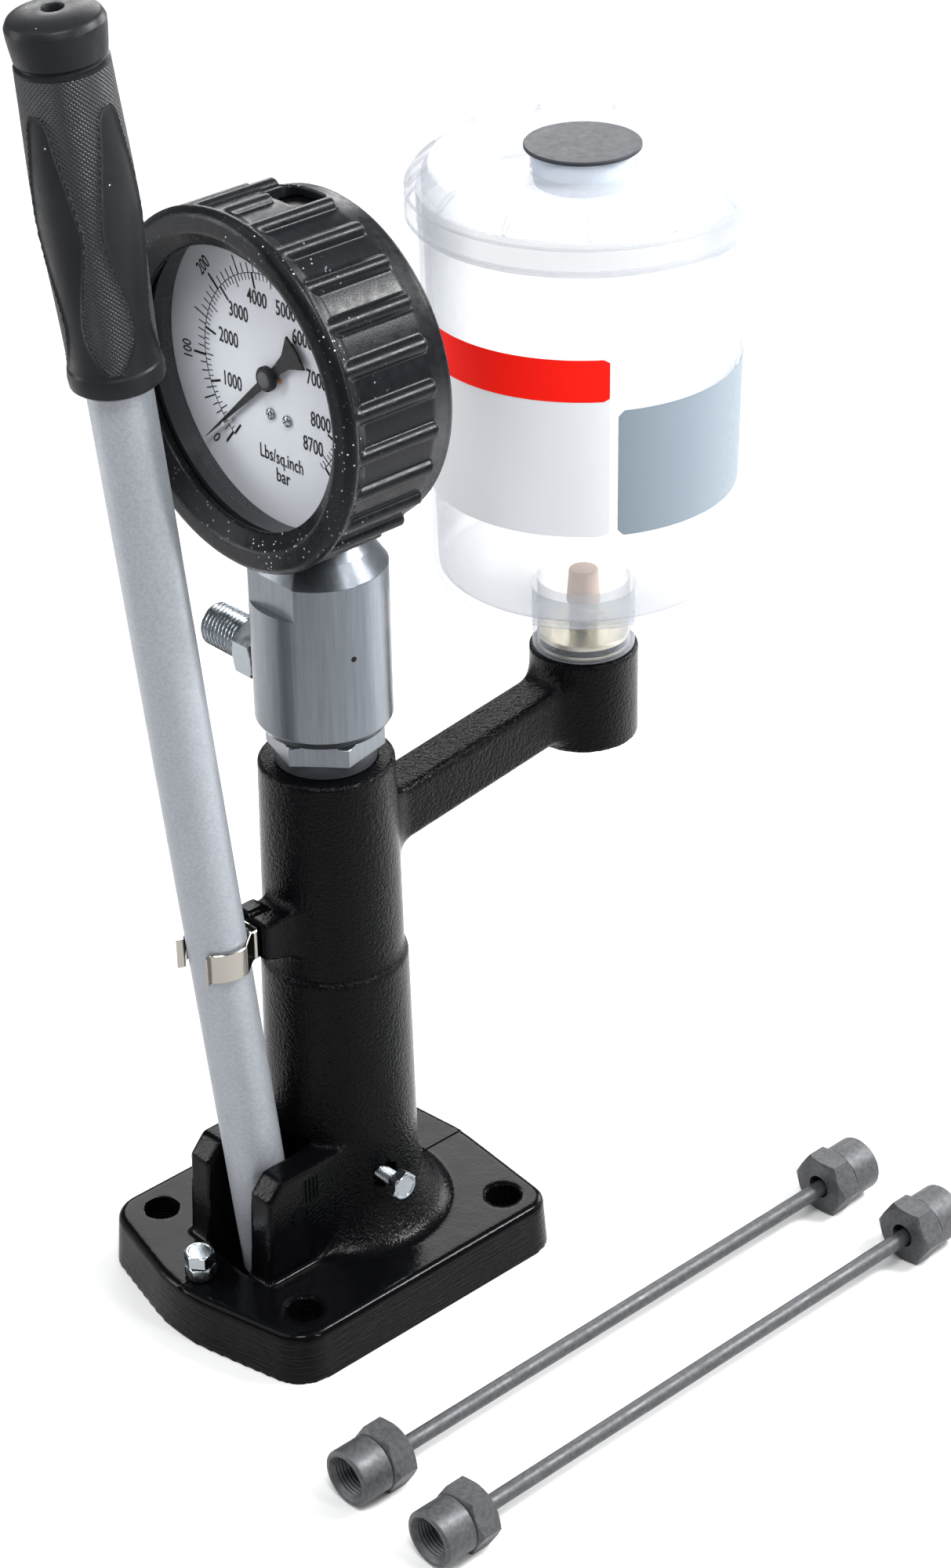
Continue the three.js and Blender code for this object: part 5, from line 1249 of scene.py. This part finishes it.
def screw_shape(head_low, head_high, tail, place, first):
    """A hexagon headed screw along local Z, with the head's free face at head_high."""
    rows = [(0, head_low), (5.0, head_low)] + hex_profile(SCREW_ACROSS, head_low, head_high, low_cut=False)
    rows += [(4.2, head_high), (3.9, head_high - 0.25), (0, head_high - 0.25)]
    flats = hexagon_trim(SCREW_ACROSS, head_low, head_high, first)
    head = spun(rows, place=place, trim=flats, turns=hexagon_turns(first, 8))
    high = head_low + 0.5
    rows = [(0, tail), (2.6, tail)] + thread_profile(2.98, 1.0, tail + 0.3, high) + [(0, high)]
    shank = spun(rows, 40, place, trim=thread_trim(0.4, 1.0, tail, high, 0.6))
    return joined(head, shank)


def make_screws():
    place = at(STOP_SCREW_X, 0, 0)
    stop = screw_shape(STOP_HEAD - 4.8, STOP_HEAD, STOP_HEAD - 19, place, 0.15)
    finished("stop_screw_threaded", stop, "bright_zinc", "stop_screw_body", ("stop_screw",), sharp=24)
    low, high = PLATE_TOP, PLATE_TOP + 5.0
    nut_rows = [(3.3, low)] + hex_profile(SCREW_ACROSS, low, high) + [(3.3, high)]
    flats = hexagon_trim(SCREW_ACROSS, low, high, 0.4)
    nut = spun(nut_rows, place=place, trim=flats, turns=hexagon_turns(0.4, 8))
    finished("lock_nut_faced", nut, "bright_zinc", "stop_nut_body", ("stop_lock_nut",), sharp=24)
    side = at(GUIDE_SCREW[0], 0, GUIDE_SCREW[1]) @ Matrix.Rotation(math.pi / 2, 4, "X")
    guide = screw_shape(34.0, 38.0, 18.4, side, 0.3)
    finished("guide_screw_threaded", guide, "bright_zinc", "guide_screw_body", ("guide_screw",), sharp=24)


# Reservoir, lid and vent on the boss
ON_BOSS = at(BOSS_X, 0, 0)
LID_RIDGE_TURN = 228.0
LID_RIDGES = 13
WALL_LOW = (54.3, 244.6)
WALL_HIGH = (57.2, 386.0)


def wall_radius(height):
    """The reservoir's outer radius, which grows evenly with the height."""
    share = (height - WALL_LOW[1]) / (WALL_HIGH[1] - WALL_LOW[1])
    return WALL_LOW[0] + (WALL_HIGH[0] - WALL_LOW[0]) * share


def make_reservoir():
    body = spun(eased([
        (17.0, 208.3), (18.8, 208.3, 0.4), (18.8, 233.6, 2.0), (49.4, 240.4, 1.0), (53.2, 240.5, 2.2),
        (*WALL_LOW, 1.0), (*WALL_HIGH, 0.3), (55.4, 386.0), (52.45, 244.2, 2.0), (49.8, 242.3, 2.0),
        (18.9, 236.3, 0.5), (17.0, 236.0, 0.5),
    ], 5), 160, ON_BOSS)
    finished("reservoir_moulded", body, "clear_plastic", "reservoir", ("reservoir_body",), sharp=50,
             even=False)
    lid = spun(eased([
        (57.5, 375.5), (60.6, 375.5, 0.4), (61.4, 377.0, 0.8), (61.4, 387.6, 1.6), (58.6, 391.6, 2.0),
        (55.0, 394.0, 2.0), (52.6, 395.5, 1.6), (27.0, 392.0, 4.0), (18.2, 392.0), (18.2, 390.2),
        (27.0, 390.2, 3.0), (53.0, 393.7, 1.0), (55.4, 391.0), (55.4, 386.3), (57.5, 386.3),
    ], 5), 160, ON_BOSS)
    finished("lid_moulded", lid, "clear_plastic", "lid", ("reservoir_lid",), sharp=50, even=False)
    walk = [(0, 53.2, 395.1), (0, 55.4, 393.9), (0, 58.6, 391.5), (0, 60.9, 388.6)]
    ridge = tube(walk, (0.7, 1.05, 1.05, 0.8), 12)
    first = math.radians(LID_RIDGE_TURN - 90)
    plastic = materials["clear_plastic"]
    ridges = spread_round(ridge, LID_RIDGES, first, 2 * math.pi / LID_RIDGES, plastic, ON_BOSS)
    rails = []
    for z in (385.7, 377.6):
        rows = [(61.0, z - 0.5), (61.75, z - 0.5, 0.3), (61.75, z + 0.5, 0.3), (61.0, z + 0.5)]
        rails.append(spun(eased(rows, 3), 160, ON_BOSS))
    finished("lid_ribs", joined(ridges, *rails), "clear_plastic", "lid", even=False)
    plug = spun(eased([
        (0, 397.0), (16.9, 397.0, 0.5), (15.0, 386.5), (16.8, 386.5, 0.4), (18.7, 398.8, 0.3), (0, 398.8),
    ], 3), 96, ON_BOSS)
    finished("vent_collar", plug, "vent_plastic", "vent", ("vent_plug",), sharp=50)
    cap = spun(eased([(0, 399.1), (20.4, 399.1, 0.4), (20.4, 400.6, 0.5), (0, 400.75)], 3), 96, ON_BOSS)
    finished("vent_disc", cap, "dark_plastic", "vent", ("vent_cap",), sharp=50)
    make_filter()


def make_filter():
    fitting = spun(eased([
        (1.5, 188), (7.7, 188), (7.7, 208.3), (16.9, 208.3, 0.4), (16.9, 210.0), (14.5, 210.0),
        (14.5, 212.6), (16.9, 212.6), (16.9, 214.3, 0.6), (5.2, 214.3), (5.2, 225.0, 0.3), (3.0, 225.0),
        (3.0, 232.0), (1.5, 232.0),
    ], 3), 96, ON_BOSS)
    finished("boss_fitting", fitting, "brass", "stand", ("reservoir_fitting",))
    cone = spun(eased([
        (0, 232.3), (3.3, 232.3), (3.3, 225.3), (6.3, 225.3, 0.4), (5.3, 238.3, 0.9), (0, 238.3),
    ], 4), 64, ON_BOSS)
    finished("filter_sintered", cone, "filter_bronze", "stand", ("reservoir_filter",), sharp=50)


def panel(name, first, last, low, high, thickness, material, corner, lift=0.06):
    """A thin plain panel wrapped on the reservoir's wall between two turns and two heights."""
    columns = 40
    rows = 24
    arc = (last - first) * 57.0
    points = []
    for side in (0, 1):
        for i in range(columns + 1):
            turn = first + (last - first) * i / columns
            x = arc * i / columns
            edge = min(x, arc - x)
            inset = 0.0
            if edge < corner:
                inset = corner - math.sqrt(max(corner ** 2 - (corner - edge) ** 2, 0))
            for j in range(rows + 1):
                z = low + inset + (high - low - 2 * inset) * j / rows
                r = wall_radius(z) + lift + thickness * side
                points.append((BOSS_X + r * math.cos(turn), r * math.sin(turn), z))
    half = (columns + 1) * (rows + 1)
    faces = []
    for i in range(columns):
        for j in range(rows):
            a = i * (rows + 1) + j
            b = a + rows + 1
            faces.append((a, a + 1, b + 1, b))
            faces.append((half + a, half + b, half + b + 1, half + a + 1))
    loop = [i * (rows + 1) for i in range(columns + 1)]
    loop += [columns * (rows + 1) + j for j in range(1, rows + 1)]
    loop += [i * (rows + 1) + rows for i in range(columns - 1, -1, -1)]
    loop += range(rows - 1, 0, -1)
    for a, b in zip(loop, loop[1:] + loop[:1]):
        faces.append((a, b, half + b, half + a))
    finished(name, (points, faces), "clear_plastic", "reservoir", material=material, sharp=50, even=False)


def make_bands():
    """Two plain bands on the reservoir's wall, one with a strip of another colour along its top."""
    turn = math.radians
    panel("band_left", turn(150), turn(235), 278, 344.5, 0.12, band_grey, 1.2)
    panel("band_left_top", turn(150), turn(235), 329, 344.5, 0.08, band_red, 1.2, 0.2)
    panel("band_right", turn(238), turn(325), 278, 325.3, 0.12, band_blue, 2.2)


# Test lines
PIPE_Z = 9.8
NUT_Z = 11.0
NUT_ACROSS = 22


def union_nut(mouth, place):
    """A union nut along local Z, its hexagon, its collar and its threaded mouth."""
    low, high = mouth - 23, mouth - 13
    rows = [(4.5, low)] + hex_profile(NUT_ACROSS, low, high) + [(9.9, high), (9.9, mouth - 12.6)]
    rows += eased([(10.5, mouth - 12.6), (10.5, mouth, 1.1), (8.6, mouth, 0.2), (7.7, mouth - 1.0)], 4)
    rows += [(7.6 - 0.5 * (k % 2), mouth - 1.3 - 13.4 * k / 20) for k in range(21)]
    rows.append((4.5, mouth - 15.0))
    flats = hexagon_trim(NUT_ACROSS, low, high, math.pi / 6)
    return spun(rows, place=place, trim=flats, turns=hexagon_turns(math.pi / 6, 12))


def make_lines():
    cone_rows = eased([(0, -1), (3.0, -1), (5.9, 2.6, 0.4), (5.9, 5.0, 0.4), (3.0, 5.6), (0, 5.6)], 3)
    for number, y in ((1, -111.0), (2, -152.8)):
        parts = [tube([(x, y, PIPE_Z) for x in np.linspace(-82.3, 148.3, 60)], 3.0, 32)]
        for x, side in ((-87.5, 1), (153.5, -1)):
            parts.append(spun(cone_rows, 40, at(x, y, PIPE_Z) @ Matrix.Rotation(side * math.pi / 2, 4, "Y")))
        finished(f"pipe_{number}_drawn", joined(*parts), "phosphated_steel", f"line_{number}",
                 (f"test_pipe_{number}",), sharp=40)
        for end, mouth in (("front", 97.0), ("rear", 163.0)):
            place = along_x(0, y, NUT_Z)
            if end == "front":
                place = place @ Matrix.Rotation(math.pi, 4, "X")
            finished(f"pipe_{number}_{end}_union", union_nut(mouth, place), "phosphated_steel",
                     f"nut_{number}_{end}", (f"pipe_{number}_{end}_nut",), sharp=24)


def dress_nodes():
    for name, node in frame["nodes"].items():
        node.data.materials.clear()
        node.data.materials.append(materials[slot_of[name]])


# Floor, light and air
def set_floor():
    floor_mesh = bpy.data.meshes.new("floor")
    reach = 6
    corners = [(-reach, -reach, 0), (reach, -reach, 0), (reach, reach, 0), (-reach, reach, 0)]
    floor_mesh.from_pydata(corners, [], [(0, 1, 2, 3)])
    floor = bpy.data.objects.new("floor", floor_mesh)
    bpy.context.scene.collection.objects.link(floor)
    look = Look("floor_white", (0.56, 0.56, 0.56), 0.9, Specular_IOR_Level=0.1)
    floor.data.materials.append(look.material)


def set_light():
    world = bpy.data.worlds.new("studio_air")
    world.use_nodes = True
    world.node_tree.nodes["Background"].inputs["Color"].default_value = (0.93, 0.965, 1, 1)
    world.node_tree.nodes["Background"].inputs["Strength"].default_value = 0.33
    bpy.context.scene.world = world
    aim = Vector((0.02, 0, 0.2))
    for name, place, spread, power in (
        ("wide_light_left", (-0.9, 0.5, 1.3), 45, 1.3),
        ("wide_light_right", (0.9, -0.6, 1.5), 45, 0.5),
    ):
        light = bpy.data.lights.new(name, "SUN")
        light.angle = math.radians(spread)
        light.energy = power
        lamp = bpy.data.objects.new(name, light)
        lamp.rotation_euler = (-Vector(place)).to_track_quat("-Z", "Y").to_euler()
        bpy.context.scene.collection.objects.link(lamp)
    for name, place, size, power in (
        ("soft_box_left", (-1.0, 1.0, 0.55), (0.3, 0.9), 12),
        ("soft_box_right", (0.25, -1.25, 0.75), (0.16, 0.9), 9),
        ("soft_box_back", (0.9, 1.1, 1.0), (0.9, 0.6), 14),
        ("soft_box_top", (-0.4, -0.46, 1.2), (0.34, 0.34), 13),
        ("soft_box_far_right", (1.25, 0.1, 0.55), (0.5, 0.6), 12),
        ("soft_box_high_right", (0.74, -0.62, 1.05), (0.32, 0.32), 30),
        ("low_panel_right", (0.4, -0.2, 0.13), (0.3, 0.26), 0.45),
        ("low_panel_left", (-0.25, 0.38, 0.13), (0.3, 0.26), 0.2),
    ):
        light = bpy.data.lights.new(name, "AREA")
        light.shape = "RECTANGLE"
        light.size, light.size_y = size
        light.energy = power
        lamp = bpy.data.objects.new(name, light)
        lamp.location = place
        lamp.rotation_euler = (aim - Vector(place)).to_track_quat("-Z", "Y").to_euler()
        bpy.context.scene.collection.objects.link(lamp)
    bpy.context.scene.view_settings.view_transform = "Standard"


def make_pieces():
    make_casting()
    make_boot()
    make_gauge()
    make_pump_head()
    make_valve_block()
    make_outlet()
    make_lever()
    make_clip()
    make_screws()
    make_reservoir()
    make_bands()
    make_lines()


set_camera()
set_floor()
set_light()
dress_nodes()
make_pieces()
